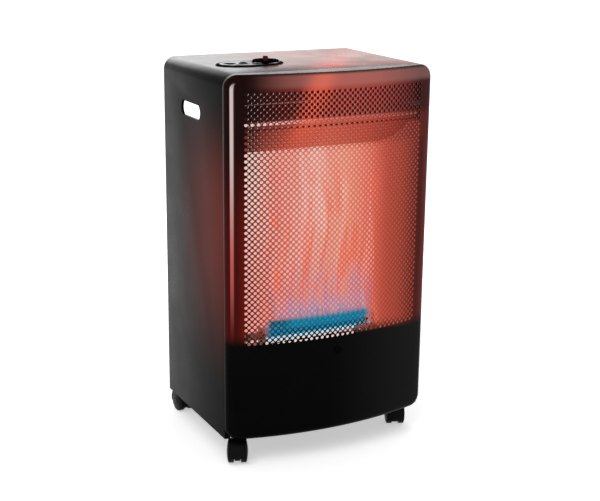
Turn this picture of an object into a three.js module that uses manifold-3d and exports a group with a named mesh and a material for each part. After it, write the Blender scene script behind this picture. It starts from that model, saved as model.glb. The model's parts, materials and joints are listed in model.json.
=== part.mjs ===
// Portable gas cabinet heater: a bent-sheet cabinet on four twin-wheel casters, with a bowed and
// perforated front, a long blue-flame burner in front of a bright reflector, top-mounted controls
// and an open back with a removable lower cover.
//
// Millimetres, +Z up. The front faces -Y and +X is on the right of someone who faces the front.
// The origin lies on the floor, under the middle of the heater's bounding box.

import * as THREE from 'three';
import { mergeVertices } from 'three/addons/utils/BufferGeometryUtils.js';
import Module from 'manifold-3d';

const wasm = await Module();
wasm.setup();

// ---------------------------------------------------------------- driving dimensions

const GAP = 0.3;               // between pieces that touch
const SLIP = 0.25;             // radial clearance of what turns or slides
const OVERCUT = 2;             // how far a cutting tool runs past the face it cuts
const GRID = 4096;             // points per millimetre that solids are rounded to

// Cabinet
const WIDTH = 424;             // over the side panels
const HALF = WIDTH / 2;
const HEIGHT = 740;            // floor to top
const FLOOR_CLEARANCE = 54;    // floor to the cabinet's underside
const SIDE_DEPTH = 286;        // side panel, front edge to back edge
const SHEET = 1.5;             // cabinet sheet
const BEND_R = 24;             // side to top, outside
const BOTTOM_FLANGE = 18;
const REAR_FLANGE = 10;
const FRONT_FLANGE = 11;       // turned in behind the front panel's edge

// Front panel
const FRONT_RETURN = 14;       // how far its flanges run back to the side panels
const FRONT_BOW = 34;          // how far its middle stands ahead of its ends
const FRONT_EDGE_R = 10;       // upright edges
const FRONT_FOOT_R = 18;       // lower corners
const HOLE_PITCH = 42;         // along a row; every second row is shifted by half of it
const HOLE_ACROSS = 28;        // corner to corner
const FIELD_SIDE_MARGIN = 30;  // panel edge to the perforated field
const FIELD_TOP_MARGIN = 32;
const FIELD_BOTTOM = 242;      // above the floor
const SIGHT_PORT_Z = 216;
const SIGHT_PORT_R = 8;
const SIGHT_PORT_DOME = 2.4;   // how far its plug stands out of the sheet

// Hand slots in the side panels
const SLOT_LENGTH = 94;
const SLOT_HEIGHT = 31;
const SLOT_END_R = 18;         // the bowed ends
const SLOT_DROP = 84;          // cabinet top to the slot's middle
const SLOT_SHIFT = 7;          // behind the middle of the side
const LINER_WALL = 1.6;
const LINER_DEPTH = 5;
const LINER_FLANGE = 5;

// Back
const COVER_BULGE = 46;        // how far the lower cover stands out behind the cabinet
const COVER_HEIGHT = 462;
const COVER_INSET = 6;         // cabinet side to the cover's flange
const COVER_FLANGE = 22;
const COVER_TAPER = 40;        // run of the bulge's slanted sides
const LOUVRE_COUNT = 5;
const LOUVRE_WIDTH = 84;
const LOUVRE_HEIGHT = 6;
const LOUVRE_PITCH = 17;
const LOUVRE_MARGIN = 34;      // cover's ends to the nearest louvre
const GRIP_WIDTH = 96;
const GRIP_HEIGHT = 26;
const BRACE_HEIGHT = 26;
const BRACE_DEPTH = 20;

// Base tray and casters
const TRAY_RIM = 22;
const BOTTLE_SEAT_R = 76;      // raised round of the tray that the bottle stands on
const BOTTLE_SEAT_RISE = 3;
const BOTTLE_SEAT_AHEAD = 92;  // its middle, ahead of the sides' back edges
const SOCKET_R = 10;
const SOCKET_HEIGHT = 22;
const CASTER_INSET_X = 35;     // cabinet side to the caster's stem
const CASTER_INSET_FRONT = 21; // side panel's front edge to the stem
const CASTER_INSET_REAR = 13;
const WHEEL_R = 22;
const WHEEL_WIDTH = 14.5;
const WHEEL_FACETS = 20;
const HUB_WIDTH = 12;          // web between the two wheels
const CASTER_TRAIL = 16;       // stem to axle
const STEM_R = 4;
const AXLE_R = 3;
const HOOD_GAP = 1.2;
const HOOD_WALL = 2;
const HOOD_INSET = 3;          // hood's ends behind the wheels' outer faces
const HOUSING_TOP = 50;        // above the floor
// Rest directions of the trails, in degrees from +X
const CASTERS = {
  front_left: { side: -1, row: 'front', heading: 246 },
  front_right: { side: 1, row: 'front', heading: 66 },
  rear_left: { side: -1, row: 'rear', heading: 94 },
  rear_right: { side: 1, row: 'rear', heading: 72 },
};

// Firebox
const LINING = 1.2;            // reflector, hood and shield sheet
const REFLECTOR_BACK = 66;     // side panel's front edge to the reflector's back
const REFLECTOR_FLAT = HALF - 65;             // half width of its back
const REFLECTOR_FOLD = { x: HALF - 41, ahead: 14 };
const REFLECTOR_MOUTH = { x: HALF - 22, ahead: 74 };
const REFLECTOR_FLANGE = 14;
const FIREBOX_FLOOR_Z = 212;
const FIREBOX_FLOOR_FLANGE = 12;
const HOOD_DROP = 156;         // cabinet top to the hood's lower back edge
const HOOD_BEND = { ahead: 49, up: 44 };
const HOOD_LIP = { ahead: 74, up: 71 };
const SHIELD_DROP = 28;        // cabinet top to the heat shield
const SHIELD_AHEAD = 16;       // reflector's back to the shield's wall

// Burner
const BURNER_LEFT_ROOM = 97;   // cabinet side to the burner's ends
const BURNER_RIGHT_ROOM = 91;
const BURNER_DEPTH = 30;
const BURNER_HEIGHT = 21;
const BURNER_RISE = 10;        // firebox floor to the burner
const BURNER_AHEAD = 24;       // reflector's back to the burner's middle
const PORT_PITCH = 14;
const PORT_WIDTH = 5;
const VENTURI_R = 7;
const VENTURI_LENGTH = 34;
const INJECTOR_R = 6;
const PIN_R = 4;
const BRACKET_HALF = 16;
const INJECTOR_BEHIND = 42;    // between the uprights of the left stand
const INLET_DROP = 9;
const AIR_SLOTS = { count: 7, length: 22, width: 10, pitch: 30 };

// Pilot group, ahead of the burner's right end
const PILOT_INSET = 24;        // burner's right end to the pilot's middle
const PILOT_PITCH = 12;
const PILOT_AHEAD = 28;        // burner's middle to the pilot's
const PILOT_SHELF_RISE = 18;   // above the firebox floor
const PILOT_TAIL = 9;
const PILOT_SHANK_R = 3;
const PILOT_HOOD_TOP = 16.5;   // above its collar, as the next three
const CERAMIC_TOP = 11;
const SPARK_TIP = 22;
const THERMOCOUPLE_TOP = 22.5;

// Lines from the firebox up to the controls
const PIPE_R = 3;
const CAPILLARY_R = 1.6;
const LEAD_R = 2.5;
const LINE_BEND = 12;
const LINE_BEHIND = 14;        // reflector's back to the lines
const LINE_UNDER = 12;         // firebox floor to their lowest run
const LINE_STEP = 12;          // between the heights at which they turn to the controls
const LINE_CROSS_RISE = 18;    // hood's lower edge to the lowest of these

// Controls, on the left of the top
const CONTROL_X = -108;
const CONTROL_BACK = 113.5;    // side panel's front edge to the controls' middle
const BEZEL_LENGTH = 134;
const BEZEL_WIDTH = 75;
const BEZEL_RISE = 2.2;
const BEZEL_WALL = 2;
const BEZEL_LEDGE = 4;         // how far it laps over the cut-out
const BEZEL_SKIRT = 7;
const OVAL_FACETS = 14;
const KNOB_SHIFT = 32.5;       // from the controls' middle, along X
const KNOB_R = 25;
const KNOB_THICKNESS = 3;
const KNOB_GRIP_WIDTH = 9.5;
const KNOB_GRIP_HEIGHT = 4;
const KNOB_TURN = -24;         // rest direction of the grip, degrees
const KNOB_TRAVEL = 3;
const HUB_R = 7;
const SPINDLE_R = 3;
const BUTTON_SHIFT = -13;
const BUTTON_PROUD = 2;        // its face, above the surround
const BUTTON_R = 6.2;
const BUTTON_TRAVEL = 5;
const DISH_SHIFT = -40;        // plain finger dish at the left
const DISH_R = 9.5;
const DISH_DEPTH = 2.4;
const VALVE = { length: 56, depth: 30, height: 34, drop: 22 };
const VALVE_BOSS_R = 8;
const STRAP_HALF = 18;         // half width of the valve's strap
const STRAP_REACH = 20;        // valve to the strap's uprights
const STRAP_EAR = 10;
const VALVE_BOSS_HEIGHT = 10;
const SPRING_WIRE_R = 0.5;
const SPRING_TURNS = 3;
const WASHER = 1;
const SPINDLE_LENGTH = 41;
const FITTING_R = 5.5;
const FITTING_LENGTH = 6;
const FITTING_PITCH = 20;
const BUTTON_STEM_R = 2.5;
const NOZZLE_R = 4;
const NOZZLE_LENGTH = 23;
const BARB_PITCH = 5;
const PIEZO_R = 10;
const PIEZO_LENGTH = 38;

// ---------------------------------------------------------------- derived places

const BASE = FLOOR_CLEARANCE;
const TOTAL_DEPTH = GAP + SIGHT_PORT_DOME + FRONT_BOW + FRONT_RETURN + GAP + SIDE_DEPTH + COVER_BULGE;
const FRONT_TIP = SIGHT_PORT_DOME + GAP - TOTAL_DEPTH / 2; // foremost point of the bowed front
const SIDE_FRONT = FRONT_TIP + FRONT_BOW + FRONT_RETURN + GAP;
const SIDE_BACK = SIDE_FRONT + SIDE_DEPTH;
const INNER_HALF = HALF - SHEET - GAP;                    // what fits between the side panels
const INNER_FRONT = SIDE_FRONT + SHEET + GAP;             // and behind their front flanges
const TRAY_Z = BASE + SHEET + GAP;                        // tray's underside
const HOOD_Z = HEIGHT - HOOD_DROP;
const REFLECTOR_Y = SIDE_FRONT + REFLECTOR_BACK;
const BURNER_Y = REFLECTOR_Y - BURNER_AHEAD;
const BURNER_Z = FIREBOX_FLOOR_Z + LINING + BURNER_RISE;
const BURNER_LEFT = BURNER_LEFT_ROOM - HALF;
const BURNER_RIGHT = HALF - BURNER_RIGHT_ROOM;
const BURNER_LENGTH = BURNER_RIGHT - BURNER_LEFT;
const BURNER_X = (BURNER_LEFT + BURNER_RIGHT) / 2;
const CONTROL_Y = SIDE_FRONT + CONTROL_BACK;
const KNOB_X = CONTROL_X + KNOB_SHIFT;
const BUTTON_X = CONTROL_X + BUTTON_SHIFT;
const DISH_X = CONTROL_X + DISH_SHIFT;
const BEZEL_TOP = HEIGHT + GAP + BEZEL_RISE;
const RECESS_Z = BEZEL_TOP - BEZEL_WALL;                  // floor of the knob's recess
const KNOB_Z = RECESS_Z + KNOB_TRAVEL + GAP;              // underside of the knob's disc
const VALVE_TOP = HEIGHT - VALVE.drop;
const BOSS_TOP = VALVE_TOP + VALVE_BOSS_HEIGHT;
const VALVE_FOOT = VALVE_TOP - VALVE.height;
const VALVE_PORTS = [-1, 0, 1].map((k) => KNOB_X + k * FITTING_PITCH);
const SPINDLE_FOOT = KNOB_Z + KNOB_THICKNESS - 2 - SPINDLE_LENGTH;
const WASHER_Z = HEIGHT - SHEET - 2.1;                    // washer's underside
const PIEZO_TOP = HEIGHT - BEZEL_SKIRT + GAP;
const AXIS_Z = BURNER_Z + BURNER_HEIGHT / 2;              // burner, venturi and injector
const INJECTOR_X = BURNER_LEFT - GAP - INJECTOR_BEHIND;
const PILOT_X = BURNER_RIGHT - PILOT_INSET;
const PILOT_Y = BURNER_Y - PILOT_AHEAD;
const PILOT_SHELF_Z = FIREBOX_FLOOR_Z + LINING + PILOT_SHELF_RISE;
const AXLE_Z = WHEEL_R * Math.cos(Math.PI / WHEEL_FACETS);  // a wheel stands on a facet
const STEM_FOOT = AXLE_Z + 8;
const LINE_BACK_Y = REFLECTOR_Y + LINE_BEHIND;

// Each line: where it starts under the firebox, where it ends, and the height of its cross run
const pilotStart = (place) => [PILOT_X + place * PILOT_PITCH, PILOT_Y,
  PILOT_SHELF_Z - PILOT_TAIL - GAP];
const valveEnd = (port) => [VALVE_PORTS[port], CONTROL_Y, VALVE_FOOT - FITTING_LENGTH - GAP];
const CROSS_Z = HOOD_Z + LINE_CROSS_RISE;
const LINES = [
  { name: 'burner_gas_pipe', radius: PIPE_R, turnZ: CROSS_Z + 5 * LINE_STEP, end: valveEnd(0),
    start: [INJECTOR_X - 7.5, BURNER_Y, AXIS_Z - INLET_DROP - GAP] },
  { name: 'pilot_gas_pipe', radius: CAPILLARY_R, turnZ: CROSS_Z + LINE_STEP, end: valveEnd(1),
    start: pilotStart(0) },
  { name: 'thermocouple_lead', radius: CAPILLARY_R, turnZ: CROSS_Z + 2 * LINE_STEP,
    end: valveEnd(2), start: pilotStart(1) },
  { name: 'ignition_lead', radius: LEAD_R, turnZ: CROSS_Z, start: pilotStart(-1),
    end: [BUTTON_X, CONTROL_Y, PIEZO_TOP - PIEZO_LENGTH - GAP] },
];

// ---------------------------------------------------------------- solids

/** A closed geometry as a solid that can be cut and joined, its points on a fine common grid. */
function solid(geometry) {
  const bare = geometry.clone();
  bare.deleteAttribute('normal');
  bare.deleteAttribute('uv');
  const { array } = bare.attributes.position;
  array.forEach((value, i) => { array[i] = Math.round(value * GRID) / GRID; });
  const welded = mergeVertices(bare, 1e-4);
  const index = welded.index.array;
  const corners = [];
  for (let i = 0; i < index.length; i += 3) {
    const [a, b, c] = index.slice(i, i + 3);
    if (a !== b && b !== c && c !== a) corners.push(a, b, c);
  }
  return new wasm.Manifold(new wasm.Mesh({
    numProp: 3,
    vertProperties: new Float32Array(welded.attributes.position.array),
    triVerts: Uint32Array.from(corners),
  }));
}

const joined = (solids) => solids.reduce((sum, next) => sum.add(next));

/** A box from its low to its high coordinates. */
function block([x0, x1], [y0, y1], [z0, z1]) {
  return solid(new THREE.BoxGeometry(x1 - x0, y1 - y0, z1 - z0)
    .translate((x0 + x1) / 2, (y0 + y1) / 2, (z0 + z1) / 2));
}

const AXES = {
  x: new THREE.Matrix4().makeBasis(
    new THREE.Vector3(0, 1, 0), new THREE.Vector3(0, 0, 1), new THREE.Vector3(1, 0, 0)),
  y: new THREE.Matrix4().makeBasis(
    new THREE.Vector3(1, 0, 0), new THREE.Vector3(0, 0, 1), new THREE.Vector3(0, -1, 0)),
  z: new THREE.Matrix4(),
};

/** A shape pushed along an axis. It is drawn in (y, z) for x, in (x, z) for y, in (x, y) for z. */
function prism(shape, axis, from, to, curveSegments = 6) {
  const geometry = new THREE.ExtrudeGeometry(shape,
    { depth: to - from, bevelEnabled: false, curveSegments });
  geometry.translate(0, 0, axis === 'y' ? -to : from);
  return solid(geometry.applyMatrix4(AXES[axis]));
}

/** A profile of [radius, height] points turned about an axis through a point. */
function turned(profile, axis, at = [0, 0, 0], facets = 24, start = 0) {
  const points = profile.map(([r, h]) => new THREE.Vector2(r, h));
  if (points[0].x > 0) points.push(points[0].clone());
  if (THREE.ShapeUtils.area(points) < 0) points.reverse();
  const geometry = new THREE.LatheGeometry(points, facets, start);
  if (axis === 'x') geometry.rotateZ(-Math.PI / 2);
  if (axis === 'z') geometry.rotateX(Math.PI / 2);
  return solid(geometry.translate(...at));
}

const rod = (radius, from, to, axis, at, facets) =>
  turned([[0, from], [radius, from], [radius, to], [0, to]], axis, at, facets);

const outline = (points) => new THREE.Shape(points.map(([a, b]) => new THREE.Vector2(a, b)));

/** A sheet bent along a run of points in a plane, as a closed outline of the given thickness. */
function bentSheet(points, thickness) {
  const at = points.map(([a, b]) => new THREE.Vector2(a, b));
  const offset = at.map((p, i) => {
    const before = i > 0 ? p.clone().sub(at[i - 1]).normalize() : null;
    const after = i < at.length - 1 ? at[i + 1].clone().sub(p).normalize() : null;
    const along = (before ?? after).clone().add(after ?? before).normalize();
    const normal = new THREE.Vector2(-along.y, along.x);
    const straight = after ?? before;
    const stretch = normal.dot(new THREE.Vector2(-straight.y, straight.x));
    return p.clone().addScaledVector(normal, thickness / stretch);
  });
  return new THREE.Shape([...at, ...offset.reverse()]);
}

/** A route through points, with each corner rounded, as a path that a section follows. */
class Route extends THREE.Curve {
  constructor(points, bend, arcSteps) {
    super();
    const at = points.map((p) => new THREE.Vector3(...p));
    this.stops = [at[0]];
    for (let i = 1; i < at.length - 1; i += 1) {
      const back = at[i - 1].clone().sub(at[i]);
      const on = at[i + 1].clone().sub(at[i]);
      const reach = Math.min(bend, back.length() / 2.1, on.length() / 2.1);
      const arc = new THREE.QuadraticBezierCurve3(
        at[i].clone().addScaledVector(back.normalize(), reach), at[i],
        at[i].clone().addScaledVector(on.normalize(), reach));
      this.stops.push(...(arcSteps ? arc.getPoints(arcSteps) : [at[i]]));
    }
    this.stops.push(at[at.length - 1]);
  }

  get steps() { return this.stops.length - 1; }

  getPointAt(u) { return this.stops[Math.round(u * this.steps)].clone(); }

  getTangentAt(u) {
    const i = Math.round(u * this.steps);
    const before = this.stops[Math.max(i - 1, 0)];
    const after = this.stops[Math.min(i + 1, this.steps)];
    return after.clone().sub(before).normalize();
  }
}

/** A round tube or rod along a route. */
function tube(points, radius, bend, sides = 6, arcSteps = 3) {
  const route = new Route(points, bend, arcSteps);
  const section = new THREE.Shape(Array.from({ length: sides }, (_, i) => {
    const angle = (2 * Math.PI * i) / sides;
    return new THREE.Vector2(radius * Math.cos(angle), radius * Math.sin(angle));
  }));
  return solid(new THREE.ExtrudeGeometry(section,
    { steps: route.steps, bevelEnabled: false, extrudePath: route }));
}

// ---------------------------------------------------------------- outlines

/** Cabinet seen from the front: upright sides that bend over into the top. */
function archOutline(inset, foot) {
  const half = HALF - inset;
  const r = BEND_R - inset;
  const top = HEIGHT - inset;
  const shape = new THREE.Shape();
  shape.moveTo(half, foot);
  shape.lineTo(half, top - r);
  shape.absarc(half - r, top - r, r, 0, Math.PI / 2, false);
  shape.absarc(-half + r, top - r, r, Math.PI / 2, Math.PI, false);
  shape.lineTo(-half, foot);
  shape.closePath();
  return shape;
}

/** Front panel seen from the front: the cabinet's arch with rounded lower corners. */
function frontOutline(inset) {
  const half = HALF - inset;
  const foot = BASE + inset;
  const top = HEIGHT - inset;
  const r = BEND_R - inset;
  const low = FRONT_FOOT_R - inset;
  const shape = new THREE.Shape();
  shape.absarc(half - low, foot + low, low, -Math.PI / 2, 0, false);
  shape.absarc(half - r, top - r, r, 0, Math.PI / 2, false);
  shape.absarc(-half + r, top - r, r, Math.PI / 2, Math.PI, false);
  shape.absarc(-half + low, foot + low, low, Math.PI, 1.5 * Math.PI, false);
  shape.closePath();
  return shape;
}

/** The bow of the front in plan: a circle through its tip and its ends. */
const BOW_R = (HALF * HALF + FRONT_BOW * FRONT_BOW) / (2 * FRONT_BOW);
const BOW_CENTRE_Y = FRONT_TIP + BOW_R;
const bowY = (x, inset = 0) => BOW_CENTRE_Y - Math.sqrt((BOW_R - inset) ** 2 - x * x);

/** Columns of holes, spread evenly about the middle; the bow's facets meet on them. */
const FIELD_HALF = HALF - FIELD_SIDE_MARGIN;
const HOLES_PER_ROW = Math.floor((2 * FIELD_HALF - HOLE_ACROSS) / HOLE_PITCH) + 1;
const columnX = (k) => ((k - (HOLES_PER_ROW - 1)) * HOLE_PITCH) / 2;
const COLUMNS = Array.from({ length: 2 * HOLES_PER_ROW - 1 }, (_, k) => columnX(k));

/** Front panel in plan: straight returns, rounded upright edges and the bow between them. */
function bowOutline(inset, back) {
  const half = HALF - inset;
  const r = FRONT_EDGE_R - inset;
  const filletX = half - r;
  const filletY = BOW_CENTRE_Y - Math.sqrt((BOW_R - inset - r) ** 2 - filletX ** 2);
  const lean = Math.atan2(filletX, BOW_CENTRE_Y - filletY);
  const shape = new THREE.Shape();
  shape.moveTo(-half, back);
  shape.absarc(-filletX, filletY, r, Math.PI, 1.5 * Math.PI - lean, false);
  for (const x of COLUMNS) shape.lineTo(x, bowY(x, inset));
  shape.absarc(filletX, filletY, r, 1.5 * Math.PI + lean, 2 * Math.PI, false);
  shape.lineTo(half, back);
  shape.closePath();
  return shape;
}

/** Hand slot in the side panel's plane: straight top and bottom, bowed ends. */
function slotOutline(grow) {
  const z = HEIGHT - SLOT_DROP;
  const y = (SIDE_FRONT + SIDE_BACK) / 2 + SLOT_SHIFT;
  const rise = SLOT_HEIGHT / 2 + grow;
  const r = SLOT_END_R + grow;
  const centre = SLOT_LENGTH / 2 - SLOT_END_R;
  const sweep = Math.asin(rise / r);
  const shape = new THREE.Shape();
  shape.absarc(y + centre, z, r, -sweep, sweep, false);
  shape.absarc(y - centre, z, r, Math.PI - sweep, Math.PI + sweep, false);
  shape.closePath();
  return shape;
}

/** Oval of the control surround, grown or shrunk. */
function bezelOutline(grow) {
  const shape = new THREE.Shape();
  shape.absellipse(CONTROL_X, CONTROL_Y, BEZEL_LENGTH / 2 + grow, BEZEL_WIDTH / 2 + grow,
    0, 2 * Math.PI, false, 0);
  return shape;
}

// ---------------------------------------------------------------- cabinet

/** One sheet bent over into both sides and the top, flanged at its foot, front and back. */
function cabinetShell() {
  const wrap = prism(archOutline(0, BASE), 'y', SIDE_FRONT, SIDE_BACK)
    .subtract(prism(archOutline(SHEET, BASE - OVERCUT), 'y',
      SIDE_FRONT - OVERCUT, SIDE_BACK + OVERCUT));
  const flanges = [[SIDE_FRONT, FRONT_FLANGE], [SIDE_BACK - SHEET, REAR_FLANGE]].map(([y, width]) =>
    prism(archOutline(0, BASE), 'y', y, y + SHEET).subtract(
      prism(archOutline(width, BASE - OVERCUT), 'y', y - OVERCUT, y + SHEET + OVERCUT)));
  const feet = [-1, 1].map((side) => {
    const edges = [side * HALF, side * (HALF - BOTTOM_FLANGE)].sort((a, b) => a - b);
    return block(edges, [SIDE_FRONT, SIDE_BACK], [BASE, BASE + SHEET]);
  });
  const slots = prism(slotOutline(0), 'x', -HALF - OVERCUT, HALF + OVERCUT, 3);
  const controls = prism(bezelOutline(-BEZEL_LEDGE + GAP), 'z',
    HEIGHT - SHEET - OVERCUT, HEIGHT + OVERCUT, OVAL_FACETS);
  return joined([wrap, ...flanges, ...feet]).subtract(slots).subtract(controls);
}

/** The staggered field of holes, as cutting tools that pass through the bowed sheet only. */
function perforation() {
  const reach = HOLE_ACROSS / 2;
  const rise = HOLE_PITCH / 2;
  const top = HEIGHT - FIELD_TOP_MARGIN - reach;
  const rows = Math.floor((top - FIELD_BOTTOM - reach) / rise) + 1;
  const tools = [];
  for (let row = 0; row < rows; row += 1) {
    const z = top - row * rise;
    for (let k = row % 2; k < COLUMNS.length; k += 2) {
      const x = COLUMNS[k];
      const hole = outline([[x - reach, z], [x, z - reach], [x + reach, z], [x, z + reach]]);
      tools.push(prism(hole, 'y', bowY(0) - OVERCUT, bowY(Math.abs(x) + reach, SHEET) + OVERCUT));
    }
  }
  return joined(tools);
}

/** Bowed front: a pressed tray whose flanges run back to the cabinet, with its holes punched. */
function frontPanel() {
  const back = SIDE_FRONT - GAP;
  const skin = (inset, rear) => prism(bowOutline(inset, rear), 'z', BASE + inset, HEIGHT - inset)
    .intersect(prism(frontOutline(inset), 'y', FRONT_TIP - OVERCUT, rear));
  const sightHole = rod(SIGHT_PORT_R - 2, FRONT_TIP - OVERCUT, FRONT_TIP + SHEET + OVERCUT,
    'y', [0, 0, SIGHT_PORT_Z], 12);
  return skin(0, back).subtract(skin(SHEET, back + OVERCUT))
    .subtract(perforation()).subtract(sightHole);
}

/** Round plug that snaps into the apron. */
function sightPortPlug() {
  const shank = SIGHT_PORT_R - 2 - SLIP;
  const head = FRONT_TIP - GAP;
  const behind = FRONT_TIP + SHEET + GAP;
  return turned([[0, head - SIGHT_PORT_DOME], [SIGHT_PORT_R * 0.6, head - SIGHT_PORT_DOME + 0.2],
    [SIGHT_PORT_R, head - 1],
    [SIGHT_PORT_R, head], [shank, head], [shank, behind], [shank + 0.8, behind + 0.4],
    [shank - 0.8, behind + 4], [0, behind + 4]], 'y', [0, 0, SIGHT_PORT_Z], 16);
}

/** Moulded liner of a hand slot: a sleeve flush with the panel and a flange behind it. */
function handleLiner(side) {
  const depthwise = (a, b) => [side * (HALF - a), side * (HALF - b)].sort((p, q) => p - q);
  const sleeve = prism(slotOutline(-GAP), 'x', ...depthwise(0, LINER_DEPTH), 3);
  const flange = prism(slotOutline(LINER_FLANGE), 'x',
    ...depthwise(SHEET + GAP, SHEET + GAP + LINER_WALL), 3);
  const hand = prism(slotOutline(-GAP - LINER_WALL), 'x',
    ...depthwise(-OVERCUT, LINER_DEPTH + OVERCUT), 3);
  return sleeve.add(flange).subtract(hand);
}

/** Floor of the cabinet: a rimmed tray with a tail under the rear cover and caster sockets. */
function baseTray() {
  const tail = SIDE_BACK + COVER_BULGE - SHEET - GAP - 2;
  const tailHalf = HALF - COVER_INSET - COVER_FLANGE - COVER_TAPER - 6;
  const neckHalf = HALF - COVER_INSET - COVER_FLANGE - 6;
  const front = INNER_FRONT;
  const rimBack = SIDE_BACK - SHEET - GAP;
  const floor = prism(outline([[-INNER_HALF, front], [INNER_HALF, front],
    [INNER_HALF, rimBack], [neckHalf, rimBack], [tailHalf, tail],
    [-tailHalf, tail], [-neckHalf, rimBack], [-INNER_HALF, rimBack]]), 'z', TRAY_Z, TRAY_Z + SHEET);
  const rim = block([-INNER_HALF, INNER_HALF], [front, rimBack], [TRAY_Z, TRAY_Z + TRAY_RIM])
    .subtract(block([-INNER_HALF + SHEET, INNER_HALF - SHEET],
      [front + SHEET, rimBack + OVERCUT], [TRAY_Z - OVERCUT, TRAY_Z + TRAY_RIM + OVERCUT]));
  const at = Object.values(CASTERS).map(casterStemAt);
  const sockets = at.map(([x, y]) => rod(SOCKET_R, TRAY_Z, TRAY_Z + SOCKET_HEIGHT, 'z', [x, y, 0], 12));
  const bores = at.map(([x, y]) => rod(STEM_R + GAP, TRAY_Z - OVERCUT,
    TRAY_Z + SOCKET_HEIGHT + OVERCUT, 'z', [x, y, 0], 12));
  const seatY = SIDE_BACK - BOTTLE_SEAT_AHEAD;
  const seat = rod(BOTTLE_SEAT_R, TRAY_Z, TRAY_Z + SHEET + BOTTLE_SEAT_RISE, 'z', [0, seatY, 0], 24);
  const under = rod(BOTTLE_SEAT_R - SHEET, TRAY_Z - OVERCUT, TRAY_Z + BOTTLE_SEAT_RISE, 'z',
    [0, seatY, 0], 24);
  return joined([floor, rim, seat, ...sockets]).subtract(joined([under, ...bores]));
}

/** Lower back cover: a flanged, bulging tray with louvres and a grip slot. */
function rearCover() {
  const foot = TRAY_Z + SHEET + GAP;
  const top = foot + COVER_HEIGHT;
  const seat = SIDE_BACK + GAP;
  const root = HALF - COVER_INSET - COVER_FLANGE;
  const bulge = (inset, face) => outline([[-root + inset, face], [root - inset, face],
    [root - COVER_TAPER - inset, SIDE_BACK + COVER_BULGE - inset],
    [-root + COVER_TAPER + inset, SIDE_BACK + COVER_BULGE - inset]]);
  const flange = block([-root - COVER_FLANGE, root + COVER_FLANGE], [seat, seat + SHEET],
    [foot, top + COVER_FLANGE]);
  const skin = prism(bulge(0, seat), 'z', foot, top);
  const hollow = prism(bulge(SHEET, seat - OVERCUT), 'z', foot + SHEET, top - SHEET);
  const face = [SIDE_BACK + COVER_BULGE - SHEET - OVERCUT, SIDE_BACK + COVER_BULGE + OVERCUT];
  const louvres = [];
  for (const side of [-1, 1]) {
    for (let i = 0; i < LOUVRE_COUNT; i += 1) {
      for (const start of [foot + LOUVRE_MARGIN,
        top - LOUVRE_MARGIN - (LOUVRE_COUNT - 1) * LOUVRE_PITCH]) {
        const z = start + i * LOUVRE_PITCH;
        const x = side * (LOUVRE_WIDTH / 2 + 10);
        louvres.push(block([x - LOUVRE_WIDTH / 2, x + LOUVRE_WIDTH / 2], face,
          [z - LOUVRE_HEIGHT / 2, z + LOUVRE_HEIGHT / 2]));
      }
    }
  }
  const gripZ = top - LOUVRE_MARGIN - LOUVRE_COUNT * LOUVRE_PITCH - GRIP_HEIGHT;
  const grip = new THREE.Shape();
  const r = GRIP_HEIGHT / 2;
  grip.absarc(GRIP_WIDTH / 2 - r, gripZ, r, -Math.PI / 2, Math.PI / 2, false);
  grip.absarc(-GRIP_WIDTH / 2 + r, gripZ, r, Math.PI / 2, 1.5 * Math.PI, false);
  return flange.add(skin).subtract(hollow).subtract(joined(louvres))
    .subtract(prism(grip, 'y', ...face));
}

/** Channel across the open back, which the cover's upper flange laps. */
function rearBrace() {
  const back = SIDE_BACK - SHEET - GAP;
  const z = TRAY_Z + SHEET + GAP + COVER_HEIGHT + 2;
  const channel = bentSheet([[back - BRACE_DEPTH, z + SHEET], [back - SHEET, z + SHEET],
    [back - SHEET, z + BRACE_HEIGHT - SHEET], [back - BRACE_DEPTH, z + BRACE_HEIGHT - SHEET]], -SHEET);
  return prism(channel, 'x', -INNER_HALF, INNER_HALF);
}

// ---------------------------------------------------------------- firebox

/** Reflector in plan, from one mouth round its back to the other, moved inward by an inset. */
function reflectorRun(inset = 0) {
  const half = [
    [REFLECTOR_MOUTH.x - inset, REFLECTOR_Y - REFLECTOR_MOUTH.ahead],
    [REFLECTOR_FOLD.x - inset, REFLECTOR_Y - REFLECTOR_FOLD.ahead - inset],
    [REFLECTOR_FLAT - inset, REFLECTOR_Y - inset],
  ];
  return [...half.map(([x, y]) => [-x, y]), ...half.reverse()];
}

/** Bright sheet round the flame zone: back, two folds, two flared sides and their flanges. */
function reflector() {
  const mouthY = REFLECTOR_Y - REFLECTOR_MOUTH.ahead;
  const edge = REFLECTOR_MOUTH.x + REFLECTOR_FLANGE;
  const run = [[-edge, mouthY], ...reflectorRun(), [edge, mouthY]];
  return prism(bentSheet(run, LINING), 'z',
    FIREBOX_FLOOR_Z + LINING + GAP, HOOD_Z + HOOD_LIP.up + 6);
}

/** A level plate from side panel to side panel, notched round the front flanges. */
function crossPlate(back, z, thickness) {
  const front = REFLECTOR_Y - REFLECTOR_MOUTH.ahead - GAP;
  const corner = INNER_FRONT;
  const nose = HALF - FRONT_FLANGE - 2 * GAP;
  const plate = prism(outline([[-INNER_HALF, corner], [-nose, corner], [-nose, front],
    [nose, front], [nose, corner], [INNER_HALF, corner], [INNER_HALF, back], [-INNER_HALF, back]]),
  'z', z, z + thickness);
  const flanges = [-1, 1].map((side) => block(
    [side * INNER_HALF, side * (INNER_HALF - thickness)].sort((a, b) => a - b),
    [corner, back], [z - FIREBOX_FLOOR_FLANGE, z + thickness]));
  return joined([plate, ...flanges]);
}

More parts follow.
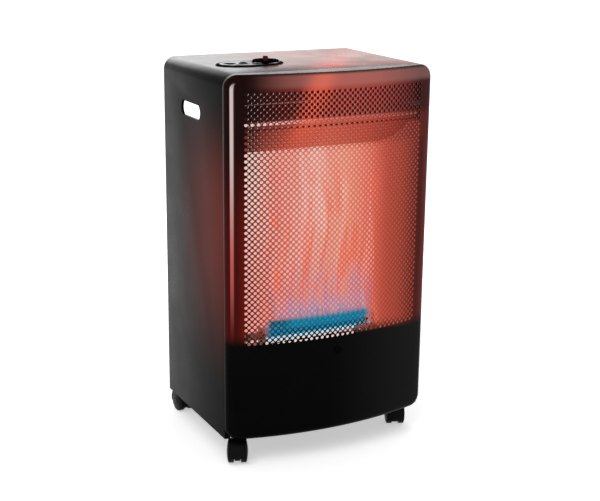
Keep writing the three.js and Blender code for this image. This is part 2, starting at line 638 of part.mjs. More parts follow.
/** Sheet under the burner, with air slots and a hole for each line that comes up through it. */
function fireboxFloor() {
  const plate = crossPlate(REFLECTOR_Y + 8, FIREBOX_FLOOR_Z, LINING);
  const through = [FIREBOX_FLOOR_Z - OVERCUT, FIREBOX_FLOOR_Z + LINING + OVERCUT];
  const holes = LINES.map(({ start, radius }) =>
    rod(radius + 1.5, ...through, 'z', [start[0], start[1], 0], 12));
  const slots = [];
  for (let i = 0; i < AIR_SLOTS.count; i += 1) {
    const x = BURNER_X + (i - (AIR_SLOTS.count - 1) / 2) * AIR_SLOTS.pitch;
    slots.push(block([x - AIR_SLOTS.length / 2, x + AIR_SLOTS.length / 2],
      [BURNER_Y - AIR_SLOTS.width / 2, BURNER_Y + AIR_SLOTS.width / 2], through));
  }
  return plate.subtract(joined([...holes, ...slots]));
}

/** Height of the hood's underside, a given distance ahead of the reflector's back. */
const hoodUnderside = (ahead) => HOOD_Z + (HOOD_BEND.up * ahead) / HOOD_BEND.ahead;

/** Sloped sheet over the flames, trimmed to fit between the reflector's walls. */
function hoodDeflector() {
  const root = REFLECTOR_Y - GAP;
  const profile = bentSheet([[root, HOOD_Z + HOOD_LIP.up / 5], [root, HOOD_Z],
    [REFLECTOR_Y - HOOD_BEND.ahead, HOOD_Z + HOOD_BEND.up],
    [REFLECTOR_Y - HOOD_LIP.ahead, HOOD_Z + HOOD_LIP.up],
    [REFLECTOR_Y - HOOD_LIP.ahead, HOOD_Z + HOOD_LIP.up + 8]], -LINING);
  const between = prism(outline(reflectorRun(2 * GAP)), 'z', HOOD_Z - OVERCUT,
    HOOD_Z + HOOD_LIP.up + 8 + OVERCUT);
  return prism(profile, 'x', -REFLECTOR_MOUTH.x, REFLECTOR_MOUTH.x).intersect(between);
}

/** Baffle that keeps the hot air off the controls: a level plate and a wall down to the hood. */
function topHeatShield() {
  const wallY = REFLECTOR_Y - SHIELD_AHEAD;
  const z = HEIGHT - SHIELD_DROP;
  const foot = hoodUnderside(SHIELD_AHEAD + LINING) + 2 * LINING + GAP;
  const above = HOOD_Z + HOOD_LIP.up + 6 + GAP;
  const wall = block([-INNER_HALF, INNER_HALF], [wallY - LINING, wallY], [foot, z]);
  const inside = REFLECTOR_FLAT + 8;
  const notches = [-1, 1].map((side) => block(
    [side * inside, side * (HALF + OVERCUT)].sort((a, b) => a - b),
    [wallY - 2 * LINING, wallY + OVERCUT], [foot - OVERCUT, above]));
  return crossPlate(wallY, z, LINING).add(wall).subtract(joined(notches));
}

// ---------------------------------------------------------------- burner and pilot

/** Long bar burner: a folded box with a seam, slots for the flames and a pin at its right end. */
function burner() {
  const half = BURNER_DEPTH / 2;
  const seam = BURNER_HEIGHT * 0.4;
  const shoulder = BURNER_HEIGHT * 0.66;
  const body = prism(outline([[-half + 3, 0], [half - 3, 0], [half - 1.5, seam - 1],
    [half, seam - 1], [half, seam + 1], [half - 1.5, seam + 1], [half - 2.5, shoulder],
    [half * 0.45, BURNER_HEIGHT], [-half * 0.45, BURNER_HEIGHT], [-half + 2.5, shoulder],
    [-half + 1.5, seam + 1], [-half, seam + 1], [-half, seam - 1], [-half + 1.5, seam - 1]]
    .map(([y, z]) => [BURNER_Y + y, BURNER_Z + z])), 'x', BURNER_LEFT, BURNER_RIGHT);
  const pin = rod(PIN_R, BURNER_RIGHT - OVERCUT, BURNER_RIGHT + 8, 'x', [0, BURNER_Y, AXIS_Z], 12);
  const count = Math.floor((BURNER_LENGTH - 2 * PORT_PITCH) / PORT_PITCH) + 1;
  const ports = Array.from({ length: count }, (_, i) => {
    const x = BURNER_X + (i - (count - 1) / 2) * PORT_PITCH;
    return block([x - PORT_WIDTH / 2, x + PORT_WIDTH / 2],
      [BURNER_Y - half * 0.3, BURNER_Y + half * 0.3],
      [BURNER_Z + BURNER_HEIGHT - 4, BURNER_Z + BURNER_HEIGHT + OVERCUT]);
  });
  return body.add(pin).subtract(joined(ports));
}

/** Left stand: a channel whose uprights hold the venturi and the injector. */
function burnerBracketLeft() {
  const inner = BURNER_LEFT - GAP;
  const foot = FIREBOX_FLOOR_Z + LINING + GAP;
  const top = BURNER_Z + BURNER_HEIGHT + 4;
  const run = [[inner, top], [inner, foot], [INJECTOR_X, foot], [INJECTOR_X, top]];
  const channel = prism(bentSheet(run, -LINING), 'y', BURNER_Y - BRACKET_HALF, BURNER_Y + BRACKET_HALF);
  const venturiHole = rod(VENTURI_R + GAP, inner - LINING - OVERCUT, inner + OVERCUT, 'x',
    [0, BURNER_Y, AXIS_Z], 16);
  const injectorHole = rod(INJECTOR_R - 2 + GAP, INJECTOR_X - OVERCUT,
    INJECTOR_X + LINING + OVERCUT, 'x', [0, BURNER_Y, AXIS_Z], 12);
  return channel.subtract(venturiHole).subtract(injectorHole);
}

/** Right stand: an angle that the burner's pin rests in. */
function burnerBracketRight() {
  const inner = BURNER_RIGHT + GAP;
  const foot = FIREBOX_FLOOR_Z + LINING + GAP;
  const run = [[inner, BURNER_Z + BURNER_HEIGHT + 4], [inner, foot], [inner + 16, foot]];
  const pinHole = rod(PIN_R + GAP, inner - OVERCUT, inner + LINING + OVERCUT, 'x',
    [0, BURNER_Y, AXIS_Z], 12);
  return prism(bentSheet(run, LINING), 'y', BURNER_Y - BRACKET_HALF, BURNER_Y + BRACKET_HALF)
    .subtract(pinHole);
}

/** Mixing tube with a flared mouth, butted to the burner's left end. */
function venturiTube() {
  const inner = VENTURI_R - 1.5;
  return turned([[inner, -VENTURI_LENGTH + 6], [inner + 2.5, -VENTURI_LENGTH],
    [VENTURI_R + 2.5, -VENTURI_LENGTH], [VENTURI_R, -VENTURI_LENGTH + 7],
    [VENTURI_R, -GAP], [inner, -GAP]], 'x', [BURNER_LEFT, BURNER_Y, AXIS_Z], 16);
}

/** Brass injector: shoulder, neck through its stand, nozzle, and an inlet from below. */
function injector() {
  const shoulder = -GAP;
  const neck = INJECTOR_R - 2;
  const body = turned([[0, shoulder - 11], [INJECTOR_R, shoulder - 11], [INJECTOR_R, shoulder],
    [neck, shoulder], [neck, LINING + 3], [neck / 2, LINING + 8], [0, LINING + 8]],
  'x', [INJECTOR_X, BURNER_Y, AXIS_Z], 12);
  const inlet = rod(PIPE_R + 1.4, AXIS_Z - INLET_DROP, AXIS_Z, 'z', [LINES[0].start[0], BURNER_Y, 0], 12);
  return body.add(inlet);
}

/** Small stepped shelf ahead of the burner that carries the pilot, electrode and thermocouple. */
function pilotBracket() {
  const back = BURNER_Y - BURNER_DEPTH / 2 - 3;
  const foot = FIREBOX_FLOOR_Z + LINING + GAP;
  const run = [[back - 5, foot], [back, foot], [back, PILOT_SHELF_Z], [PILOT_Y - 7, PILOT_SHELF_Z]];
  const plate = prism(bentSheet(run, LINING), 'x', PILOT_X - PILOT_PITCH - 9, PILOT_X + PILOT_PITCH + 9);
  const holes = [-1, 0, 1].map((k) => rod(PILOT_SHANK_R + GAP, PILOT_SHELF_Z - OVERCUT,
    PILOT_SHELF_Z + LINING + OVERCUT, 'z', [PILOT_X + k * PILOT_PITCH, PILOT_Y, 0], 12));
  return plate.subtract(joined(holes));
}

/** A shank through the pilot shelf with a collar that sits on it, and a given top. */
function pilotFitting(place, top) {
  const seat = PILOT_SHELF_Z + LINING + GAP;
  const x = PILOT_X + place * PILOT_PITCH;
  return turned([[0, PILOT_SHELF_Z - PILOT_TAIL], [PILOT_SHANK_R, PILOT_SHELF_Z - PILOT_TAIL],
    [PILOT_SHANK_R, seat], [PILOT_SHANK_R + 1.6, seat], [PILOT_SHANK_R + 1.6, seat + 2],
    ...top.map(([r, up]) => [r, seat + 2 + up])], 'z', [x, PILOT_Y, 0], 12);
}

/** Pilot burner with its slotted hood turned towards the thermocouple and the burner. */
function pilotBurner() {
  const seat = PILOT_SHELF_Z + LINING + GAP;
  const head = PILOT_HOOD_TOP;
  const tube = pilotFitting(0, [[2.6, 0], [2.6, head - 8.5], [4.4, head - 7], [4.4, head - 1.5],
    [3, head], [0, head]]);
  const window = block([PILOT_X - 1, PILOT_X + 6], [PILOT_Y - 1.6, PILOT_Y + 6],
    [seat + head - 4, seat + head - 0.5]);
  return tube.subtract(window);
}

/** Ceramic electrode with a bent wire tip. */
function sparkElectrode() {
  const seat = PILOT_SHELF_Z + LINING + GAP;
  const x = PILOT_X - PILOT_PITCH;
  const ceramic = pilotFitting(-1, [[2.4, 0], [2, CERAMIC_TOP], [0, CERAMIC_TOP]]);
  const wire = tube([[x, PILOT_Y, seat + CERAMIC_TOP], [x, PILOT_Y, seat + SPARK_TIP - 2],
    [x + 4.5, PILOT_Y, seat + SPARK_TIP]], 0.7, 2);
  return ceramic.add(wire);
}

const thermocouple = () => pilotFitting(1, [[2, 0], [2, THERMOCOUPLE_TOP - 9.5],
  [1.6, THERMOCOUPLE_TOP - 8.5], [1.6, THERMOCOUPLE_TOP - 1.5], [0.8, THERMOCOUPLE_TOP],
  [0, THERMOCOUPLE_TOP]]);

// ---------------------------------------------------------------- gas valve and lines

/** Cast valve: a chamfered block, the spindle's boss and bore, and three line fittings. */
function gasValve() {
  const { length, depth, height } = VALVE;
  const cut = 6;
  const [l, d] = [length / 2, depth / 2];
  const block8 = prism(outline([[l - cut, -d], [l, -d + cut], [l, d - cut], [l - cut, d],
    [-l + cut, d], [-l, d - cut], [-l, -d + cut], [-l + cut, -d]]
    .map(([x, y]) => [KNOB_X + x, CONTROL_Y + y])), 'z', VALVE_TOP - height, VALVE_TOP);
  const boss = rod(VALVE_BOSS_R, VALVE_TOP - OVERCUT, BOSS_TOP, 'z', [KNOB_X, CONTROL_Y, 0], 16);
  const fittings = VALVE_PORTS.map((x) => rod(FITTING_R, VALVE_TOP - height - FITTING_LENGTH,
    VALVE_TOP - height + OVERCUT, 'z', [x, CONTROL_Y, 0], 6));
  const bore = rod(SPINDLE_R + SLIP, SPINDLE_FOOT - KNOB_TRAVEL - 1, BOSS_TOP + OVERCUT, 'z',
    [KNOB_X, CONTROL_Y, 0], 16);
  return joined([block8, boss, ...fittings]).subtract(bore);
}

/** Strap that hangs the valve from the cabinet's top. */
function valveBracket() {
  const top = HEIGHT - SHEET - GAP;
  const seat = VALVE_TOP + GAP + LINING;
  const near = VALVE.depth / 2 + STRAP_REACH;
  const far = near + STRAP_EAR;
  const run = [[-far, top], [-near, top], [-near, seat], [near, seat], [near, top], [far, top]]
    .map(([y, z]) => [CONTROL_Y + y, z]);
  const strap = prism(bentSheet(run, -LINING), 'x', KNOB_X - STRAP_HALF, KNOB_X + STRAP_HALF);
  return strap.subtract(rod(VALVE_BOSS_R + GAP, VALVE_TOP, seat + OVERCUT, 'z',
    [KNOB_X, CONTROL_Y, 0], 16));
}

/** Ribbed nozzle that the gas hose pushes onto, at the back of the valve. */
function hoseNozzle() {
  const foot = CONTROL_Y + VALVE.depth / 2 + GAP;
  const tip = foot + NOZZLE_LENGTH;
  const bore = NOZZLE_R * 0.6;
  const nut = NOZZLE_R + 3;
  const barbs = [3, 2, 1].flatMap((k) => {
    const y = tip - 1 - k * BARB_PITCH;
    return [[NOZZLE_R, y], [NOZZLE_R + 1, y + 1.5], [NOZZLE_R, y + BARB_PITCH - 1]];
  });
  return turned([[0, foot], [nut, foot], [nut, foot + nut], [NOZZLE_R, foot + nut], ...barbs,
    [NOZZLE_R - 0.4, tip], [bore, tip], [bore, foot + NOZZLE_R], [0, foot + NOZZLE_R]],
  'y', [KNOB_X, 0, VALVE_TOP - VALVE.height / 2], 12);
}

/** A gas line, capillary or lead, from its start under the firebox to its end at the controls. */
function lineTube({ start, end, radius, turnZ }) {
  const under = FIREBOX_FLOOR_Z - LINE_UNDER;
  return tube([start, [start[0], start[1], under], [start[0], LINE_BACK_Y, under],
    [start[0], LINE_BACK_Y, turnZ], [end[0], LINE_BACK_Y, turnZ], [end[0], end[1], turnZ], end],
  radius, LINE_BEND);
}

/** Spindle that the knob turns and pushes. */
const valveSpindle = () => rod(SPINDLE_R, SPINDLE_FOOT, KNOB_Z + KNOB_THICKNESS - 2, 'z',
  [KNOB_X, CONTROL_Y, 0], 16);

const thrustWasher = () => turned([[SPINDLE_R + SLIP, 0], [HUB_R + 0.5, 0], [HUB_R + 0.5, WASHER],
  [SPINDLE_R + SLIP, WASHER]], 'z', [KNOB_X, CONTROL_Y, WASHER_Z], 16);

/** Coil between the valve's boss and the washer. */
function knobReturnSpring() {
  const r = (SPINDLE_R + HUB_R) / 2 + 0.4;
  const low = BOSS_TOP + GAP + SPRING_WIRE_R;
  const high = WASHER_Z - GAP - SPRING_WIRE_R;
  const steps = SPRING_TURNS * 8;
  const points = Array.from({ length: steps + 1 }, (_, i) => {
    const turn = (2 * Math.PI * i) / 8;
    return [KNOB_X + r * Math.cos(turn), CONTROL_Y + r * Math.sin(turn),
      low + ((high - low) * i) / steps];
  });
  return tube(points, SPRING_WIRE_R, 0, 5, 0);
}

// ---------------------------------------------------------------- control surround

/** Knob: a thin disc with rounded edges, an upright grip and a hub that goes through the top. */
function controlKnob() {
  const at = [KNOB_X, CONTROL_Y, 0];
  const top = KNOB_Z + KNOB_THICKNESS;
  const disc = turned([[0, KNOB_Z], [KNOB_R - 0.6, KNOB_Z], [KNOB_R, KNOB_Z + 0.8],
    [KNOB_R, top - 1], [KNOB_R - 1.2, top], [0, top]], 'z', at, 32);
  const hub = rod(HUB_R, WASHER_Z + WASHER + GAP, KNOB_Z + 1, 'z', at, 16);
  const length = KNOB_R - KNOB_GRIP_WIDTH / 2 - 1;
  const shape = new THREE.Shape();
  shape.absarc(length, 0, KNOB_GRIP_WIDTH / 2, -Math.PI / 2, Math.PI / 2, false);
  shape.absarc(-length, 0, KNOB_GRIP_WIDTH / 2, Math.PI / 2, 1.5 * Math.PI, false);
  const grip = solid(new THREE.ExtrudeGeometry(shape, { depth: KNOB_GRIP_HEIGHT, curveSegments: 4,
    bevelThickness: 1, bevelSize: 0.8, bevelOffset: -0.8, bevelSegments: 2 })
    .rotateZ(THREE.MathUtils.degToRad(90 + KNOB_TURN)).translate(at[0], at[1], top - 0.5));
  const bore = rod(SPINDLE_R + GAP, WASHER_Z, top - 2 + GAP, 'z', at, 16);
  return joined([disc, hub, grip]).subtract(bore);
}

/** Push button with a domed face and the stem that works the igniter. */
function igniterButton() {
  const seat = PIEZO_TOP + GAP + BUTTON_TRAVEL;
  const face = BEZEL_TOP + BUTTON_PROUD;
  return turned([[0, PIEZO_TOP - 12], [BUTTON_STEM_R, PIEZO_TOP - 12], [BUTTON_STEM_R, seat],
    [BUTTON_R, seat], [BUTTON_R, face - 1.6], [BUTTON_R - 1.4, face - 0.3], [0, face]],
  'z', [BUTTON_X, CONTROL_Y, 0], 16);
}

/** Piezo unit: a barrel with a collar under the surround and a terminal at its foot. */
function piezoIgniter() {
  const foot = PIEZO_TOP - PIEZO_LENGTH;
  const barrel = turned([[0, foot], [3, foot], [3, foot + 6], [PIEZO_R - 1.5, foot + 6],
    [PIEZO_R - 1.5, PIEZO_TOP - 7], [PIEZO_R, PIEZO_TOP - 7], [PIEZO_R, PIEZO_TOP], [0, PIEZO_TOP]],
  'z', [BUTTON_X, CONTROL_Y, 0], 16);
  return barrel.subtract(rod(BUTTON_STEM_R + SLIP, PIEZO_TOP - 12 - BUTTON_TRAVEL - 1,
    PIEZO_TOP + OVERCUT, 'z', [BUTTON_X, CONTROL_Y, 0], 16));
}

/** Raised oval surround: the knob's recess, the button's collar, a plain dish and the skirt. */
function controlBezel() {
  const seat = HEIGHT + GAP;
  const knobAt = [KNOB_X, CONTROL_Y, 0];
  const buttonAt = [BUTTON_X, CONTROL_Y, 0];
  const dishAt = [DISH_X, CONTROL_Y, 0];
  const edge = 1.5;
  const cap = solid(new THREE.ExtrudeGeometry(bezelOutline(0), { depth: BEZEL_RISE, curveSegments: OVAL_FACETS,
    bevelThickness: edge, bevelSize: edge, bevelOffset: -edge, bevelSegments: 2 })
    .translate(0, 0, seat - edge))
    .subtract(block([-HALF, HALF], [SIDE_FRONT, SIDE_BACK], [seat - 2 * edge - 1, seat]));
  const ring = BEZEL_LEDGE + BEZEL_WALL;
  const pocket = prism(bezelOutline(-ring), 'z', seat - OVERCUT, RECESS_Z, OVAL_FACETS);
  const skirt = prism(bezelOutline(-BEZEL_LEDGE), 'z', seat - BEZEL_SKIRT, seat + 1, OVAL_FACETS)
    .subtract(prism(bezelOutline(-ring), 'z', seat - BEZEL_SKIRT - OVERCUT, seat + 2, OVAL_FACETS));
  const inside = prism(bezelOutline(-BEZEL_LEDGE), 'z', seat - BEZEL_SKIRT, BEZEL_TOP, OVAL_FACETS);
  const well = rod(KNOB_R + 4, RECESS_Z - BEZEL_WALL, BEZEL_TOP, 'z', knobAt, 28).intersect(inside);
  const collar = rod(BUTTON_R + 2.6, PIEZO_TOP + GAP, BEZEL_TOP + 1.2, 'z', buttonAt, 16);
  const bowl = rod(DISH_R + 2, BEZEL_TOP - DISH_DEPTH - BEZEL_WALL, BEZEL_TOP, 'z', dishAt, 16);
  const cuts = [
    rod(KNOB_R + 1.5, RECESS_Z, BEZEL_TOP + OVERCUT, 'z', knobAt, 28),
    rod(HUB_R + 1, RECESS_Z - BEZEL_WALL - OVERCUT, RECESS_Z + OVERCUT, 'z', knobAt, 16),
    rod(BUTTON_R + SLIP, PIEZO_TOP - OVERCUT, BEZEL_TOP + 2 * OVERCUT, 'z', buttonAt, 16),
    turned([[0, BEZEL_TOP - DISH_DEPTH], [DISH_R * 0.7, BEZEL_TOP - DISH_DEPTH],
      [DISH_R, BEZEL_TOP - 0.5], [DISH_R, BEZEL_TOP + OVERCUT], [0, BEZEL_TOP + OVERCUT]],
    'z', dishAt, 16),
  ];
  return joined([cap.subtract(pocket), skirt, well, collar, bowl]).subtract(joined(cuts));
}

// ---------------------------------------------------------------- casters

function casterStemAt({ side, row }) {
  return [side * (HALF - CASTER_INSET_X),
    row === 'front' ? SIDE_FRONT + CASTER_INSET_FRONT : SIDE_BACK - CASTER_INSET_REAR];
}

/** Stem in the caster's own frame: the origin is under the stem, +X is the trail. */
const casterStem = () => turned([[0, STEM_FOOT], [STEM_R, STEM_FOOT], [STEM_R, HOUSING_TOP + GAP],
  [STEM_R * 2, HOUSING_TOP + GAP], [STEM_R * 2, TRAY_Z - GAP], [STEM_R, TRAY_Z - GAP],
  [STEM_R, TRAY_Z + SOCKET_HEIGHT], [0, TRAY_Z + SOCKET_HEIGHT]], 'z', [0, 0, 0], 12);

/** Web between the wheels with the stem's block, and the hood over both wheels. */
function casterHousing() {
  const reach = STEM_R * 2;
  const web = new THREE.Shape();
  web.moveTo(-reach, HOUSING_TOP);
  web.lineTo(-reach, AXLE_Z + 4);
  web.absarc(CASTER_TRAIL, AXLE_Z, WHEEL_R * 0.55, 1.1 * Math.PI, 2 * Math.PI, false);
  web.lineTo(reach + 2, HOUSING_TOP);
  web.closePath();
  const inner = WHEEL_R + HOOD_GAP;
  const hood = new THREE.Shape();
  hood.absarc(CASTER_TRAIL, AXLE_Z, inner + HOOD_WALL, -0.08 * Math.PI, 1.08 * Math.PI, false);
  hood.absarc(CASTER_TRAIL, AXLE_Z, inner, 1.08 * Math.PI, -0.08 * Math.PI, true);
  hood.closePath();
  const half = HUB_WIDTH / 2 + WHEEL_WIDTH - HOOD_INSET;
  return prism(web, 'y', -HUB_WIDTH / 2, HUB_WIDTH / 2, 3).add(prism(hood, 'y', -half, half, 5))
    .subtract(rod(STEM_R + SLIP, STEM_FOOT - 1.5, HOUSING_TOP + OVERCUT, 'z', [0, 0, 0], 12))
    .subtract(rod(AXLE_R + SLIP, -HUB_WIDTH, HUB_WIDTH, 'y', [CASTER_TRAIL, 0, AXLE_Z], 12));
}

const casterAxle = () => rod(AXLE_R, -HUB_WIDTH / 2 - WHEEL_WIDTH + 2, HUB_WIDTH / 2 + WHEEL_WIDTH - 2,
  'y', [CASTER_TRAIL, 0, AXLE_Z], 12);

/** One wheel: flat tread, domed outer face, and a facet on the floor. */
function casterWheel(side) {
  const [near, far] = [HUB_WIDTH / 2 + GAP, HUB_WIDTH / 2 + WHEEL_WIDTH];
  return turned([[AXLE_R + SLIP, near], [WHEEL_R - 1.2, near], [WHEEL_R, near + 1.2],
    [WHEEL_R, far - 4], [WHEEL_R - 4, far - 1], [AXLE_R + SLIP, far]].map(([r, h]) => [r, side * h]),
  'y', [CASTER_TRAIL, 0, AXLE_Z], WHEEL_FACETS, Math.PI / WHEEL_FACETS);
}

// ---------------------------------------------------------------- assembly

const finish = (color, roughness, metalness) =>
  new THREE.MeshStandardMaterial({ color, roughness, metalness });

const paint = finish(0x171515, 0.38, 0.2);
const innerSteel = finish(0x8d8a86, 0.42, 0.9);
const brightSteel = finish(0xcfc8c2, 0.22, 1);
const burnerSteel = finish(0x9a9188, 0.35, 1);
const blackPlastic = finish(0x0e0e0f, 0.35, 0);
const softPlastic = finish(0x1a1a1b, 0.6, 0);
const zinc = finish(0xb9bcc0, 0.35, 1);
const brass = finish(0xc9a24b, 0.3, 1);
const copper = finish(0xb87349, 0.3, 1);
const castAlloy = finish(0xa7a9ab, 0.5, 1);
const ceramic = finish(0xece7dc, 0.4, 0);
const silicone = finish(0xb8341f, 0.55, 0);
const grip = finish(0x2a2122, 0.3, 0);

/** A solid as a named mesh. */
function part(name, body, material) {
  const { vertProperties, triVerts } = body.getMesh();
  const geometry = new THREE.BufferGeometry();
  geometry.setAttribute('position', new THREE.BufferAttribute(vertProperties, 3));
  geometry.setIndex(new THREE.BufferAttribute(triVerts, 1));
  geometry.computeVertexNormals();
  const mesh = new THREE.Mesh(geometry, material);
  mesh.name = name;
  return mesh;
}

/** One caster in its own frame, set under the cabinet and swivelled to its heading. */
function caster(label, spec, forms) {
  const group = new THREE.Group();
  group.add(
    part(`caster_stem_${label}`, forms.stem, zinc),
    part(`caster_housing_${label}`, forms.housing, softPlastic),
    part(`caster_axle_${label}`, forms.axle, zinc),
    part(`caster_wheel_${label}_a`, forms.wheelA, blackPlastic),
    part(`caster_wheel_${label}_b`, forms.wheelB, blackPlastic));
  const [x, y] = casterStemAt(spec);
  group.position.set(x, y, 0);
  group.rotation.z = THREE.MathUtils.degToRad(spec.heading);
  return group;
}

const heater = new THREE.Group();

heater.add(
  part('cabinet_shell', cabinetShell(), paint),
  part('front_panel', frontPanel(), paint),
  part('sight_port_plug', sightPortPlug(), blackPlastic),
  part('handle_liner_left', handleLiner(-1), softPlastic),
  part('handle_liner_right', handleLiner(1), softPlastic),
  part('base_tray', baseTray(), paint),
  part('rear_cover', rearCover(), paint),
  part('rear_brace', rearBrace(), paint));

heater.add(
  part('reflector', reflector(), brightSteel),
  part('firebox_floor', fireboxFloor(), innerSteel),
  part('hood_deflector', hoodDeflector(), innerSteel),
  part('top_heat_shield', topHeatShield(), innerSteel));

heater.add(
  part('burner', burner(), burnerSteel),
  part('burner_bracket_left', burnerBracketLeft(), innerSteel),
  part('burner_bracket_right', burnerBracketRight(), innerSteel),
  part('venturi_tube', venturiTube(), innerSteel),
  part('injector', injector(), brass),
  part('pilot_bracket', pilotBracket(), innerSteel),
  part('pilot_burner', pilotBurner(), brass),
  part('spark_electrode', sparkElectrode(), ceramic),
  part('thermocouple', thermocouple(), copper));

const lineFinish = { burner_gas_pipe: castAlloy, pilot_gas_pipe: castAlloy,
  thermocouple_lead: copper, ignition_lead: silicone };
for (const line of LINES) heater.add(part(line.name, lineTube(line), lineFinish[line.name]));

heater.add(
  part('gas_valve', gasValve(), castAlloy),
  part('valve_bracket', valveBracket(), innerSteel),
  part('hose_nozzle', hoseNozzle(), brass),
  part('valve_spindle', valveSpindle(), brass),
  part('knob_thrust_washer', thrustWasher(), zinc),
  part('knob_return_spring', knobReturnSpring(), zinc),
  part('control_knob', controlKnob(), grip),
  part('igniter_button', igniterButton(), blackPlastic),
  part('piezo_igniter', piezoIgniter(), softPlastic),
  part('control_bezel', controlBezel(), blackPlastic));

const casterForms = { stem: casterStem(), housing: casterHousing(), axle: casterAxle(),
  wheelA: casterWheel(1), wheelB: casterWheel(-1) };
for (const [label, spec] of Object.entries(CASTERS)) heater.add(caster(label, spec, casterForms));

export default heater;
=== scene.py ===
"""Portable gas cabinet heater: the looks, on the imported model. Metres, +Z up, -Y is the front."""
import json
import math

import bmesh
import bpy
from mathutils import Matrix, Vector


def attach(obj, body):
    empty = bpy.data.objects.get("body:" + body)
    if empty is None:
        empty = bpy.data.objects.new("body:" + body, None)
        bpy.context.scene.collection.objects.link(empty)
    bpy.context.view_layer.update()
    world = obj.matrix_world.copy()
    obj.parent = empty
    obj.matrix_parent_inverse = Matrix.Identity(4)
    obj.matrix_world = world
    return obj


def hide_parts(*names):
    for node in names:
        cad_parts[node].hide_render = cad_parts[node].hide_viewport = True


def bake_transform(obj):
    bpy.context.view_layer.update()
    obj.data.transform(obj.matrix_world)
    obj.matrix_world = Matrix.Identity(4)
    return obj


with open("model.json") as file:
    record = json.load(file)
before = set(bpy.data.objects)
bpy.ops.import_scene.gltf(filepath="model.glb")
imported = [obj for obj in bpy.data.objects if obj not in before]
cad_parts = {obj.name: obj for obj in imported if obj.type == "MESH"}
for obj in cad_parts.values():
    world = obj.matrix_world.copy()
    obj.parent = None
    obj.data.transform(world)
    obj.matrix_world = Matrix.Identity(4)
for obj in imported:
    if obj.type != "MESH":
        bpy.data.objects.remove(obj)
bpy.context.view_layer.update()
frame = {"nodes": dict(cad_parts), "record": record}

MM = 0.001

# ---------------------------------------------------------------- dimensions, in mm

HALF, TOP, FLOOR = 212.0, 740.0, 54.0
FRONT_TIP, SIDE_FRONT, SIDE_BACK = -188.8, -140.5, 145.5
SEAM = SIDE_FRONT - 0.3                 # back edge of the front panel's return
BOW = 34.0
BOW_R = (HALF ** 2 + BOW ** 2) / (2 * BOW)
SHEET, BEND_R = 1.5, 24.0
EDGE_R = 12.0                           # rounding of the front panel's edge
PITCH, HOLE_R = 10.85, 3.15             # perforation: rows and columns, staggered by half
FIELD_FOOT = 245.5                      # lowest row of holes
COLUMNS, ROWS = 33, 85                  # reach of the half-pitch lattice
BURNER_Y, BURNER_TOP = -98.5, 244.2
DISH_AT, BEZEL_AT = (-148.0, -27.0), (-108.0, -27.0)
BEZEL_HALF, CUT_OUT_HALF = (67.0, 37.5), (63.0, 33.5)    # half axes of the oval surround
SLOT_LENGTH, SLOT_HEIGHT, SLOT_END_R, SLOT_AT = 94.0, 31.0, 18.0, (9.5, 656.0)
HEM_BEND, FRONT_HEM, BACK_HEM = 2.2, 11.0, 10.0
CASTERS = {"front_left": (-177.0, -119.5, 246), "front_right": (177.0, -119.5, 66),
           "rear_left": (-177.0, 132.5, 94), "rear_right": (177.0, 132.5, 72)}
TRAIL, AXLE_Z = 16.0, 21.73
EYE, LENS, SENSOR = (-1.0733, -2.1079, 1.0260), 74.128, 36.0        # the camera
AZIMUTH, ELEVATION, ROLL = -27.308, 15.667, 0.654                   # degrees


def bow_y(x):
    """Front of the bowed panel at a distance from its middle."""
    return FRONT_TIP + BOW_R - math.sqrt(BOW_R ** 2 - x ** 2)


# ---------------------------------------------------------------- node materials

